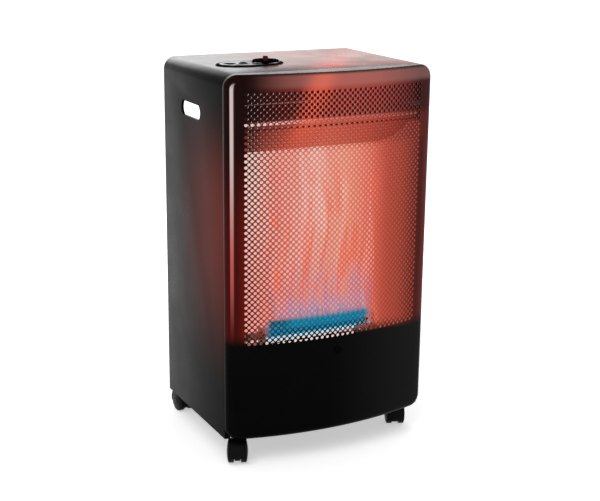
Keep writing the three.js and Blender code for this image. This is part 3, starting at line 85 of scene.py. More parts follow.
class Nodes:
    """A material's node tree, built by short calls; every pattern uses object coordinates."""

    def __init__(self, name):
        self.material = bpy.data.materials.new(name)
        self.material.use_nodes = True
        self.tree = self.material.node_tree
        self.tree.nodes.clear()
        self.output = self.add("ShaderNodeOutputMaterial")
        self.place = self.add("ShaderNodeTexCoord").outputs["Object"]

    def add(self, kind, inputs=None, **settings):
        node = self.tree.nodes.new(kind)
        for key, value in settings.items():
            setattr(node, key, value)
        for key, value in (inputs or {}).items():
            self.feed(node.inputs[key], value)
        return node

    def feed(self, socket, value):
        if isinstance(value, bpy.types.NodeSocket):
            self.tree.links.new(value, socket)
        else:
            socket.default_value = value

    def math(self, operation, a, b=0.0):
        return self.add("ShaderNodeMath", {0: a, 1: b}, operation=operation).outputs[0]

    def times(self, a, b):
        return self.math("MULTIPLY", a, b)

    def span(self, value, low, high, to_low=0.0, to_high=1.0, smooth=True):
        """The value mapped from one span to another and held there."""
        return self.add("ShaderNodeMapRange", {"Value": value, "From Min": low, "From Max": high,
                        "To Min": to_low, "To Max": to_high}, clamp=True,
                        interpolation_type="SMOOTHSTEP" if smooth else "LINEAR").outputs["Result"]

    def noise(self, scale, detail=2.0, rough=0.5, stretch=(1, 1, 1)):
        place = self.add("ShaderNodeMapping", {"Vector": self.place, "Scale": stretch}).outputs[0]
        return self.add("ShaderNodeTexNoise", {"Vector": place, "Scale": scale, "Detail": detail,
                        "Roughness": rough}).outputs["Fac"]

    def ramp(self, value, stops):
        node = self.add("ShaderNodeValToRGB", {"Fac": value})
        node.color_ramp.elements.remove(node.color_ramp.elements[0])
        for i, (at, color) in enumerate(stops):
            stop = node.color_ramp.elements[0] if i == 0 else node.color_ramp.elements.new(at)
            stop.position, stop.color = at, (*color, 1.0)
        return node.outputs["Color"]

    def mix(self, factor, a, b):
        node = self.add("ShaderNodeMix", data_type="RGBA")
        for socket, value in (("Factor_Float", factor), ("A_Color", a), ("B_Color", b)):
            target = next(s for s in node.inputs if s.identifier == socket)
            if isinstance(value, tuple):
                value = (*value, 1.0)
            self.feed(target, value)
        return next(s for s in node.outputs if s.identifier == "Result_Color")

    def axes(self):
        parts = self.add("ShaderNodeSeparateXYZ", {"Vector": self.place}).outputs
        return parts[0], parts[1], parts[2]

    def bump(self, height, strength, distance):
        return self.add("ShaderNodeBump", {"Height": height, "Strength": strength,
                        "Distance": distance}).outputs["Normal"]

    def surface(self, **inputs):
        names = {key.replace("_", " ").title().replace("Ior", "IOR"): value
                 for key, value in inputs.items()}
        shader = self.add("ShaderNodeBsdfPrincipled")
        for key, value in names.items():
            if isinstance(value, tuple) and len(value) == 3 and "Color" in key:
                value = (*value, 1.0)
            self.feed(shader.inputs[key], value)
        self.feed(self.output.inputs["Surface"], shader.outputs[0])
        return self.material


def paint(name, glow=None, specular=0.12, rough=0.34):
    """Satin black powder coat: fine orange peel, faint dust, worn a little in its gloss."""
    n = Nodes(name)
    peel = n.noise(900, 3.0, 0.55)
    dust = n.noise(14, 4.0, 0.6)
    color = n.mix(n.span(dust, 0.45, 0.8, 0.0, 0.35), (0.0007, 0.0007, 0.0008),
                  (0.0030, 0.0028, 0.0028))
    inputs = dict(base_color=color, roughness=n.span(dust, 0.3, 0.75, rough * 0.9, rough * 1.15),
                  specular_ior_level=specular, normal=n.bump(peel, 0.10, 0.0004))
    # glow, when given, is painted light laid over the paint as emission
    if glow:
        inputs.update(emission_color=glow(n), emission_strength=1.0)
    return n.surface(**inputs)


def plain(name, color, roughness, metallic=0.0, grain=600, depth=0.12, vary=0.15, **more):
    """A surface with fine grain in its bump and soft patches in its colour and gloss."""
    n = Nodes(name)
    patch = n.noise(22, 4.0, 0.6)
    darker = tuple(c * (1 - vary) for c in color)
    lighter = tuple(min(1.0, c * (1 + vary)) for c in color)
    return n.surface(base_color=n.mix(patch, darker, lighter), metallic=metallic,
                     roughness=n.span(patch, 0.3, 0.7, roughness * 0.85, roughness * 1.15),
                     normal=n.bump(n.noise(grain, 3.0, 0.6), depth, 0.0003), **more)


# ---------------------------------------------------------------- light of the flames

# The light is laid out on each surface by that surface's own x and z, in metres.
ACROSS = (-HALF * MM, HALF * MM)        # span of the ramps over a surface's width
BLACK = (0.0, 0.0, 0.0)
SWAY, SWAYS, TALL = 0.007, 23.0, 0.11   # the streaks' waver, and how far they are drawn out
FRONT_START, REFLECTOR_START = (0.0075, -0.006), (-0.0534, 0.051)   # places in the noise
ONSET = (0.46, 0.62)                    # from no flame to full flame in the streaks' noise


def across_ramp(n, x, stops):
    """A ramp over a surface's width, its stops given by x."""
    low, high = ACROSS
    return n.ramp(n.span(x, low, high, smooth=False),
                  [((at - low) / (high - low), color) for at, color in stops])


def band(n, value, low, high, soft):
    """One inside a span of values, falling to nothing over a soft edge outside it."""
    return n.times(n.span(value, low - soft, low), n.span(value, high + soft, high))


def wisps(n, x, z, scale, start):
    """Tall streaks that waver as they rise, from 0 to 1."""
    across, up = n.math("ADD", x, start[0]), n.math("ADD", z, start[1])
    sway = n.times(n.math("SINE", n.times(up, SWAYS)), SWAY)
    place = n.add("ShaderNodeCombineXYZ", {"X": n.math("ADD", across, sway),
                  "Z": n.times(up, TALL)}).outputs[0]
    return n.add("ShaderNodeTexNoise", {"Vector": place, "Scale": scale, "Detail": 2.0,
                 "Roughness": 0.5, "Distortion": 0.6}).outputs["Fac"]


def licks(n, x, z, streaks, sides, heights):
    """Narrow orange-red streaks of flame over the burner, from 0 to 1."""
    field = n.times(band(n, x, *sides, 0.025), n.span(z, *heights))
    return n.times(n.span(streaks, 0.53, 0.61), field)


def glow_plume(n, x, z, start, heights):
    """Slanting plume of painted red glow rising over the hood, from 0 to 1."""
    middle = n.math("ADD", n.times(z, 0.40), start)
    off = n.math("ABSOLUTE", n.math("SUBTRACT", x, middle))
    return n.times(n.span(off, 0.042, 0.0), n.span(z, *heights))


def painted_edge_highlight(n):
    """Painted highlight where the left upright edge turns past the light, from 0 to 1."""
    normal = n.add("ShaderNodeNewGeometry").outputs["Normal"]
    turned = n.add("ShaderNodeVectorMath", {0: normal, 1: (-0.53, -0.848, 0.0)},
                   operation="DOT_PRODUCT").outputs["Value"]
    z = n.axes()[2]
    height = n.times(n.span(z, 0.24, 0.40), n.span(z, 0.734, 0.715))
    return n.times(n.span(turned, 0.976, 0.994), height)


def edge_highlight_color(n):
    """Colour of that painted highlight on the edge: red low down, nearly white higher up."""
    return n.mix(n.span(n.axes()[2], 0.38, 0.64), (0.46, 0.085, 0.070), (0.62, 0.49, 0.48))


def front_colors(n, x):
    """Glow across the front at the window, at the brow over it and at the crown."""
    window = across_ramp(n, x, [
        (-0.1947, (0.050, 0.003, 0.002)), (-0.1840, (0.105, 0.006, 0.003)),
        (-0.1733, (0.060, 0.004, 0.003)), (-0.1617, (0.190, 0.033, 0.021)),
        (-0.1364, (0.320, 0.060, 0.045)), (-0.1182, (0.490, 0.105, 0.080)),
        (-0.0614, (0.600, 0.195, 0.150)), (0.0106, (0.670, 0.205, 0.140)),
        (0.0513, (0.600, 0.135, 0.095)), (0.0808, (0.545, 0.082, 0.052)),
        (0.1080, (0.400, 0.053, 0.032)), (0.1373, (0.300, 0.040, 0.022)),
        (0.1713, (0.110, 0.014, 0.010)), (0.1884, (0.060, 0.008, 0.006)),
        (0.2047, (0.110, 0.022, 0.018))])
    brow = across_ramp(n, x, [
        (-0.1947, (0.030, 0.003, 0.002)), (-0.1509, (0.150, 0.018, 0.011)),
        (-0.0821, (0.430, 0.056, 0.030)), (-0.0346, (0.490, 0.078, 0.048)),
        (0.0482, (0.400, 0.058, 0.034)), (0.1047, (0.300, 0.036, 0.022)),
        (0.1618, (0.120, 0.014, 0.010)), (0.2047, (0.080, 0.014, 0.012))])
    crown = across_ramp(n, x, [
        (-0.1947, (0.004, 0.001, 0.001)), (-0.1500, (0.036, 0.005, 0.004)),
        (-0.0858, (0.180, 0.022, 0.016)), (-0.0385, (0.400, 0.058, 0.038)),
        (0.0206, (0.370, 0.062, 0.048)), (0.0787, (0.310, 0.050, 0.043)),
        (0.1384, (0.140, 0.024, 0.021)), (0.1798, (0.040, 0.008, 0.007)),
        (0.2111, (0.045, 0.012, 0.011))])
    return window, brow, crown


def front_glow(n):
    """Painted light of the flames on the front's paint: a wide glow, redder to the sides, blue
    along the burner.
    """
    x, _, z = n.axes()
    window, brow, crown = front_colors(n, x)
    broad, narrow, fine = (wisps(n, x, z, scale, FRONT_START) for scale in (24.0, 62.0, 95.0))
    inside = band(n, x, -0.1182, 0.0617, 0.035)
    color = n.mix(n.times(inside, n.span(broad, 0.50, 0.66, 0.0, 0.30)), window, (0.78, 0.36, 0.29))
    flames = licks(n, x, z, narrow, (-0.1319, 0.0702), (0.6133, 0.5042))
    color = n.mix(n.times(flames, 0.55), color, (0.70, 0.095, 0.052))
    color = n.mix(n.span(z, 0.5935, 0.6153), color, brow)
    color = n.mix(n.span(z, 0.6431, 0.6669), color, crown)
    plume_light = glow_plume(n, x, z, -0.3305, (0.5833, 0.6925))
    color = n.mix(n.times(plume_light, 0.75), color, (0.80, 0.105, 0.050))
    shade = n.times(n.span(x, -0.1500, -0.1698), n.span(z, 0.439, 0.650))
    color = n.mix(shade, color, (0.010, 0.0015, 0.001))
    # painted highlight: a pale band of light along the top of the window, fading to the right
    rim = n.times(n.span(z, 0.7096, 0.7215), n.span(x, -0.1858, -0.0671, 0.0, 0.28))
    color = n.mix(rim, color, (0.50, 0.26, 0.23))
    # painted blue light of the flames along the burner's ports
    ports = n.times(band(n, x, -0.1319, 0.0576, 0.012), band(n, z, 0.260, 0.285, 0.006))
    blue = n.mix(n.span(x, -0.1154, -0.0858), (0.006, 0.055, 0.080), (0.003, 0.155, 0.250))
    color = n.mix(ports, color, n.mix(n.span(z, 0.2681, 0.2740), (0.004, 0.060, 0.100), blue))
    lilac = n.times(n.span(fine, *ONSET), band(n, x, -0.0905, 0.0358, 0.03))
    height = n.times(n.span(z, 0.2839, 0.2899), n.span(z, 0.4050, 0.3058))
    color = n.mix(n.times(n.times(lilac, height), 0.55), color, (0.28, 0.15, 0.28))
    # painted haze of flame light over the burner
    glow_haze = n.times(band(n, x, -0.0998, 0.0358, 0.04), band(n, z, 0.2998, 0.3177, 0.016))
    color = n.mix(n.times(glow_haze, 0.35), color, (0.36, 0.22, 0.36))
    foot = n.math("ADD", n.span(x, 0.0938, -0.0288, 0.010, 0.0),
                  n.span(n.math("ABSOLUTE", x), 0.08, 0.20, 0.0, 0.010))
    lit = n.times(n.span(n.math("ADD", z, foot), 0.2495, 0.2775), n.span(z, 0.7400, 0.7345))
    # painted reflection on the apron: a faint grey, brighter to the right
    apron = n.mix(n.span(x, -0.0288, 0.1618), BLACK, (0.0045, 0.0045, 0.0048))
    # the painted highlight on the left edge goes over everything else
    return n.mix(painted_edge_highlight(n), n.mix(lit, apron, color), edge_highlight_color(n))


def inner_glow(n):
    """The light on the reflector: white at the left, red at the right, blue at the burner."""
    x, _, z = n.axes()
    broad, narrow, fine, coarse = (wisps(n, x, z, scale, REFLECTOR_START)
                                   for scale in (22.9, 59.1, 90.5, 16.2))
    color = across_ramp(n, x, [
        (-0.1880, (1.00, 0.74, 0.70)), (-0.1177, (1.00, 0.62, 0.55)),
        (-0.0704, (1.00, 0.43, 0.36)), (-0.0096, (1.00, 0.44, 0.36)),
        (0.0650, (1.00, 0.43, 0.32)), (0.1112, (1.00, 0.33, 0.22)),
        (0.1406, (0.80, 0.18, 0.12)), (0.1592, (0.56, 0.105, 0.068)),
        (0.1751, (0.46, 0.095, 0.062)), (0.1865, (0.40, 0.07, 0.048)),
        (0.2024, (0.30, 0.045, 0.030))])
    inside = band(n, x, -0.0778, 0.1322, 0.03)
    pale, deep = n.span(broad, 0.52, 0.66, 0.0, 0.7), n.span(coarse, 0.48, 0.34, 0.0, 0.45)
    color = n.mix(n.times(inside, pale), color, (1.0, 0.70, 0.61))
    color = n.mix(n.times(inside, deep), color, (0.92, 0.22, 0.17))
    flames = licks(n, x, z, narrow, (-0.0830, 0.1353), (0.5893, 0.4738))
    color = n.mix(n.times(flames, 0.62), color, (1.0, 0.23, 0.145))
    left = n.times(n.span(z, 0.5368, 0.2639), n.span(x, -0.0620, -0.1040))
    color = n.mix(left, color, (1.0, 0.40, 0.35))
    low = n.times(n.span(z, 0.3689, 0.2482), band(n, x, -0.0673, 0.1059, 0.05))
    color = n.mix(n.times(low, 0.6), color, (0.98, 0.27, 0.25))
    lilac = n.times(n.span(fine, *ONSET), band(n, x, -0.0358, 0.1007, 0.03))
    lilac = n.times(lilac, n.span(z, 0.4109, 0.2744))
    color = n.mix(n.times(lilac, 0.6), color, (0.54, 0.42, 0.66))
    # painted haze of blue flame light low over the burner
    glow_haze = n.times(n.span(z, 0.2902, 0.2482), band(n, x, -0.0515, 0.1059, 0.03))
    color = n.mix(n.times(glow_haze, 0.65), color, (0.42, 0.48, 0.72))
    # painted shade on the reflector above the hood
    color = n.mix(n.span(z, 0.6282, 0.6387), color, (0.020, 0.003, 0.002))
    ports = n.times(band(n, x, -0.0830, 0.1227, 0.012), n.span(z, 0.2555, 0.2450))
    blue = n.mix(n.span(x, -0.0641, -0.0305), (0.010, 0.130, 0.190), (0.006, 0.270, 0.430))
    return n.mix(ports, color, blue)


def reflector_metal():
    """Bright rolled sheet, lit by the flames on its inner side only."""
    n = Nodes("bright_reflector")
    brushed = n.noise(60, 3.0, 0.6, (1.0, 1.0, 0.03))
    x, y, _ = n.axes()
    to_middle = n.add("ShaderNodeCombineXYZ", {0: n.times(x, -1.0),
                      1: n.math("SUBTRACT", -0.115, y)}).outputs[0]
    normal = n.add("ShaderNodeNewGeometry").outputs["Normal"]
    inward = n.add("ShaderNodeVectorMath", {0: normal, 1: to_middle},
                   operation="DOT_PRODUCT").outputs["Value"]
    inside = n.span(inward, 0.0, 0.010)
    return n.surface(base_color=n.mix(inside, (0.34, 0.32, 0.31), (0.02, 0.014, 0.012)),
                     metallic=1.0, roughness=0.45, normal=n.bump(brushed, 0.08, 0.0004),
                     emission_color=n.mix(inside, BLACK, inner_glow(n)), emission_strength=0.88)


def sheet_with_painted_glow(n, base, roughness, grain, glow, strength):
    """Dark metal with a fine grain, with painted light in the given colour laid on as emission."""
    return n.surface(base_color=base, metallic=1.0, roughness=roughness,
                     normal=n.bump(n.noise(grain, 3.0, 0.6), 0.1, 0.0003),
                     emission_color=glow, emission_strength=strength)


def hood_metal():
    """Hood over the flames, painted with their light: a dull red glow, a painted highlight on the
    upper lip, a painted shadow line under it and painted shade above.
    """
    n = Nodes("hood_metal")
    x, _, z = n.axes()
    color = across_ramp(n, x, [
        (-0.1765, (0.100, 0.016, 0.011)), (-0.1252, (0.180, 0.024, 0.016)),
        (-0.0492, (0.540, 0.070, 0.038)), (0.0083, (0.620, 0.105, 0.064)),
        (0.0905, (0.500, 0.075, 0.042)), (0.1418, (0.340, 0.042, 0.026)),
        (0.1932, (0.120, 0.018, 0.013))])
    plume_light = glow_plume(n, x, z, -0.2908, (0.5681, 0.6810))
    color = n.mix(n.times(plume_light, 0.6), color, (0.90, 0.13, 0.06))
    # painted shade over the hood's top, above the lip
    color = n.mix(n.span(z, 0.6505, 0.6545), color, (0.022, 0.002, 0.001))
    lip_highlight = n.times(band(n, z, 0.6445, 0.6500, 0.001), n.span(x, -0.0073, -0.1287, 0.15, 1.0))
    color = n.mix(lip_highlight, color, (0.85, 0.62, 0.58))
    # painted shadow line under the lip
    color = n.mix(band(n, z, 0.6335, 0.6365, 0.0015), color, (0.012, 0.001, 0.001))
    return sheet_with_painted_glow(n, (0.02, 0.014, 0.012), 0.5, 240, color, 0.9)


def shield_metal():
    """Heat shield under the top: nearly dark with a faint painted red glow to the right, and one
    painted highlight line.
    """
    n = Nodes("shield_metal")
    x, _, z = n.axes()
    highlight_line = n.times(band(n, z, 0.6740, 0.6752, 0.0006), n.span(x, 0.0660, -0.0799))
    color = n.mix(n.span(x, -0.0591, 0.0764), (0.012, 0.003, 0.003), (0.060, 0.004, 0.002))
    color = n.mix(highlight_line, color, (0.20, 0.12, 0.11))
    return sheet_with_painted_glow(n, (0.02, 0.016, 0.015), 0.55, 240, color, 0.9)


def burner_metal():
    """Burner under its flames, painted with their light: white-blue at the ports low on its front,
    deep cyan above.
    """
    n = Nodes("burner_flame_light")
    _, y, z = n.axes()
    color = n.ramp(n.span(z, 0.218, 0.246, smooth=False), [
        (0.0, (0.10, 0.03, 0.03)), (0.16, (0.35, 0.30, 0.32)), (0.22, (0.50, 0.85, 1.0)),
        (0.42, (0.42, 0.80, 0.95)), (0.55, (0.010, 0.24, 0.42)), (1.0, (0.004, 0.20, 0.36))])
    front = n.span(y, -0.080, -0.100)
    return sheet_with_painted_glow(n, (0.012, 0.012, 0.014), 0.45, 300, n.mix(front, BLACK, color), 1.0)


def hearth_metal():
    """Sheet under the burner, pink with the light that falls on it."""
    n = Nodes("hearth_metal")
    color = across_ramp(n, n.axes()[0], [
        (-0.1765, (1.00, 0.84, 0.80)), (-0.1149, (0.80, 0.66, 0.62)),
        (-0.0328, (1.00, 0.90, 0.86)), (0.0699, (0.95, 0.72, 0.66)),
        (0.1161, (0.50, 0.13, 0.09)), (0.2100, (0.20, 0.02, 0.015))])
    return sheet_with_painted_glow(n, (0.05, 0.045, 0.043), 0.45, 240, color, 0.8)


def shell_glow(n):
    """Painted light on the shell: a red glow on the side panels near the front, a glow with one red
    streak over the top, and a painted highlight along the front hem's bend.
    """
    x, y, z = n.axes()
    height = n.times(n.span(z, 0.13, 0.45), n.span(z, 0.70, 0.50))
    side = n.times(n.span(y, 0.11, -0.13), n.times(height, n.span(z, 0.742, 0.735)))
    side_glow = n.mix(side, BLACK, (0.105, 0.012, 0.007))
    # a streak of painted red glow slanting over the top
    middle = n.math("ADD", n.times(y, 0.67), 0.092)
    streak = n.span(n.math("ABSOLUTE", n.math("SUBTRACT", x, middle)), 0.060, 0.0)
    top_glow = n.mix(n.span(x, -0.16, 0.04), BLACK, (0.220, 0.070, 0.055))
    streak = n.times(streak, n.span(y, 0.12, -0.12, 0.25, 0.9))
    top_glow = n.mix(streak, top_glow, (0.46, 0.050, 0.026))
    # painted highlight along the bend of the front hem, on the top and the sides
    hem_highlight = n.span(y, -0.1381, -0.1390)
    top_glow = n.mix(n.times(hem_highlight, 0.6), top_glow, (0.30, 0.235, 0.225))
    side_glow = n.mix(n.times(hem_highlight, n.span(z, 0.30, 0.60)), side_glow, (0.150, 0.130, 0.128))
    return n.mix(n.span(z, 0.731, 0.737), side_glow, top_glow)


def knob_plastic():
    """Dull black disc with a dark red, finely ribbed grip."""
    n = Nodes("knob_plastic")
    x, y, z = n.axes()
    across = n.math("SUBTRACT", n.math("MULTIPLY", x, 0.914), n.math("MULTIPLY", y, 0.407))
    rib = n.math("SINE", n.math("MULTIPLY", across, 2 * math.pi / 0.0019))
    # the grooves between the ribs painted darker than their crests: painted shade
    grip = n.mix(n.span(rib, -0.5, 0.6), (0.022, 0.003, 0.004), (0.085, 0.013, 0.016))
    return n.surface(base_color=n.mix(n.span(z, 0.7469, 0.7473), (0.003, 0.002, 0.002), grip),
                     roughness=0.6, specular_ior_level=0.0, normal=n.bump(rib, 0.15, 0.0002))


def bezel_plastic():
    """Surround: semi-gloss on its flat top, dull on its rim and in the dish."""
    n = Nodes("bezel_plastic")
    x, y, _ = n.axes()
    parts = [n.math("POWER", n.math("DIVIDE", n.math("SUBTRACT", value, at * MM), half * MM), 2.0)
             for value, at, half in zip((x, y), BEZEL_AT, BEZEL_HALF)]
    rim = n.span(n.math("SQRT", n.math("ADD", *parts)), 0.87, 0.92)
    parts = [n.math("POWER", n.math("SUBTRACT", value, at * MM), 2.0)
             for value, at in zip((x, y), DISH_AT)]
    dish = n.span(n.math("SQRT", n.math("ADD", *parts)), 0.0122, 0.0114)
    rough = n.span(n.math("MAXIMUM", rim, dish), 0, 1, 0.3, 1.0)
    return n.surface(base_color=(0.003, 0.0028, 0.003), roughness=rough,
                     specular_ior_level=0.03, normal=n.bump(n.noise(1200, 3.0, 0.6), 0.05, 0.0002))


MATERIALS = {
    "front_paint": paint("front_paint", front_glow, 0.02, 0.30),
    "shell_paint": paint("shell_paint", shell_glow, 0.026, 0.30),
    "black_enamel": paint("black_enamel"),
    "inner_steel": plain("inner_steel", (0.30, 0.29, 0.28), 0.42, 1.0),
    "burner_steel": plain("burner_steel", (0.20, 0.17, 0.15), 0.45, 1.0),
    "gloss_black_plastic": plain("gloss_black_plastic", (0.003, 0.003, 0.0033), 0.28, grain=1500,
                                 depth=0.05, specular_ior_level=0.06),
    "matt_black_plastic": plain("matt_black_plastic", (0.004, 0.004, 0.0043), 0.46, grain=1200,
                                depth=0.2, specular_ior_level=0.05),
    "dull_black_plastic": plain("dull_black_plastic", (0.003, 0.003, 0.0033), 0.7, grain=900,
                                depth=0.2, specular_ior_level=0.0),
    "knob_plastic": knob_plastic(),
    "bezel_plastic": bezel_plastic(),
    "zinc_plate": plain("zinc_plate", (0.60, 0.62, 0.64), 0.32, 1.0),
    "brass": plain("brass", (0.72, 0.52, 0.24), 0.28, 1.0),
    "copper": plain("copper", (0.70, 0.36, 0.22), 0.30, 1.0),
    "cast_alloy": plain("cast_alloy", (0.50, 0.51, 0.52), 0.45, 1.0, grain=300, depth=0.3),
    "ceramic": plain("ceramic", (0.80, 0.77, 0.70), 0.25, vary=0.04),
    "silicone": plain("silicone", (0.42, 0.06, 0.03), 0.5),
    "bright_reflector": reflector_metal(),
    "hood_metal": hood_metal(),
    "shield_metal": shield_metal(),
    "burner_flame_light": burner_metal(),
    "hearth_metal": hearth_metal(),
}


# ---------------------------------------------------------------- mesh helpers

def smooth(mesh, angle):
    """Smooth shading, but sharp at edges past an angle in degrees."""
    for face in mesh.polygons:
        face.use_smooth = True
    mesh.set_sharp_from_angle(angle=math.radians(angle))


def piece(name, points, faces, slot, body="cabinet", nodes=(), material=None, angle=35):
    """A mesh piece from points in mm; it rides on a body and stands for CAD nodes."""
    mesh = bpy.data.meshes.new(name)
    mesh.from_pydata([Vector(p) * MM for p in points], [], faces)
    mesh.validate()
    obj = bpy.data.objects.new(name, mesh)
    bpy.context.scene.collection.objects.link(obj)
    tidy = bmesh.new()
    tidy.from_mesh(mesh)
    bmesh.ops.recalc_face_normals(tidy, faces=tidy.faces)
    tidy.to_mesh(mesh)
    tidy.free()
    return fit(obj, slot, body, nodes, material, angle)


def fit(obj, slot, body, nodes, material, angle):
    """Gives a piece its material (the slot's own when none is named) and body, and hides the CAD
    nodes that it stands for.
    """
    obj.data.materials.clear()
    obj.data.materials.append(MATERIALS[material or slot])
    smooth(obj.data, angle)
    if body:
        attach(obj, body)
    if nodes:
        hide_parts(*nodes)
    return obj


def applied(obj, *modifiers):
    """The object with these modifiers made part of its mesh."""
    for kind, settings in modifiers:
        modifier = obj.modifiers.new(kind.lower(), kind)
        for key, value in settings.items():
            setattr(modifier, key, value)
    depsgraph = bpy.context.evaluated_depsgraph_get()
    mesh = bpy.data.meshes.new_from_object(obj.evaluated_get(depsgraph))
    obj.modifiers.clear()
    obj.data = mesh
    return obj


def refined(node, bevel=0.4, segments=2, angle=35, material=None):
    """A CAD node with its edges broken and its facets smoothed, as a piece of its own."""
    source = frame["nodes"][node]
    slot = next(s["material_slot"] for s in frame["record"]["subparts"] if s["node"] == node)
    body = next(b for b, nodes in frame["record"]["behaviour"]["bodies"].items() if node in nodes)
    mesh = bpy.data.meshes.new(node + "_fine")
    work = bmesh.new()
    work.from_mesh(source.data)
    bmesh.ops.remove_doubles(work, verts=work.verts, dist=1e-6)
    bmesh.ops.dissolve_limit(work, angle_limit=math.radians(1.0), verts=work.verts,
                             edges=work.edges)
    work.to_mesh(mesh)
    work.free()
    obj = bpy.data.objects.new(node + "_fine", mesh)
    bpy.context.scene.collection.objects.link(obj)
    if bevel:
        applied(obj, ("BEVEL", dict(width=bevel * MM, segments=segments, limit_method="ANGLE",
                                    angle_limit=math.radians(angle), use_clamp_overlap=True)))
    if node == "knob_return_spring":  # left on no body, since its top goes down with the pressed knob
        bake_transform(obj)
        body = None
    return fit(obj, slot, body, (node,), material, angle)


def revolve(profile, at, axis=(0, 0, 1), steps=48):
    """Points and faces of a profile of (radius, height) turned about an axis through a point."""
    turn = Vector((0, 0, 1)).rotation_difference(Vector(axis)).to_matrix()
    points, faces = [], []
    for k in range(steps):
        a = 2 * math.pi * k / steps
        points += [turn @ Vector((r * math.cos(a), r * math.sin(a), h)) + Vector(at)
                   for r, h in profile]
    count = len(profile)
    for k in range(steps):
        for i in range(count - 1):
            a, b = k * count + i, ((k + 1) % steps) * count + i
            faces.append((a, b, b + 1, a + 1))
    faces += [tuple(k * count + end for k in range(steps)) for end in (0, count - 1)]
    return points, faces


# ---------------------------------------------------------------- front panel

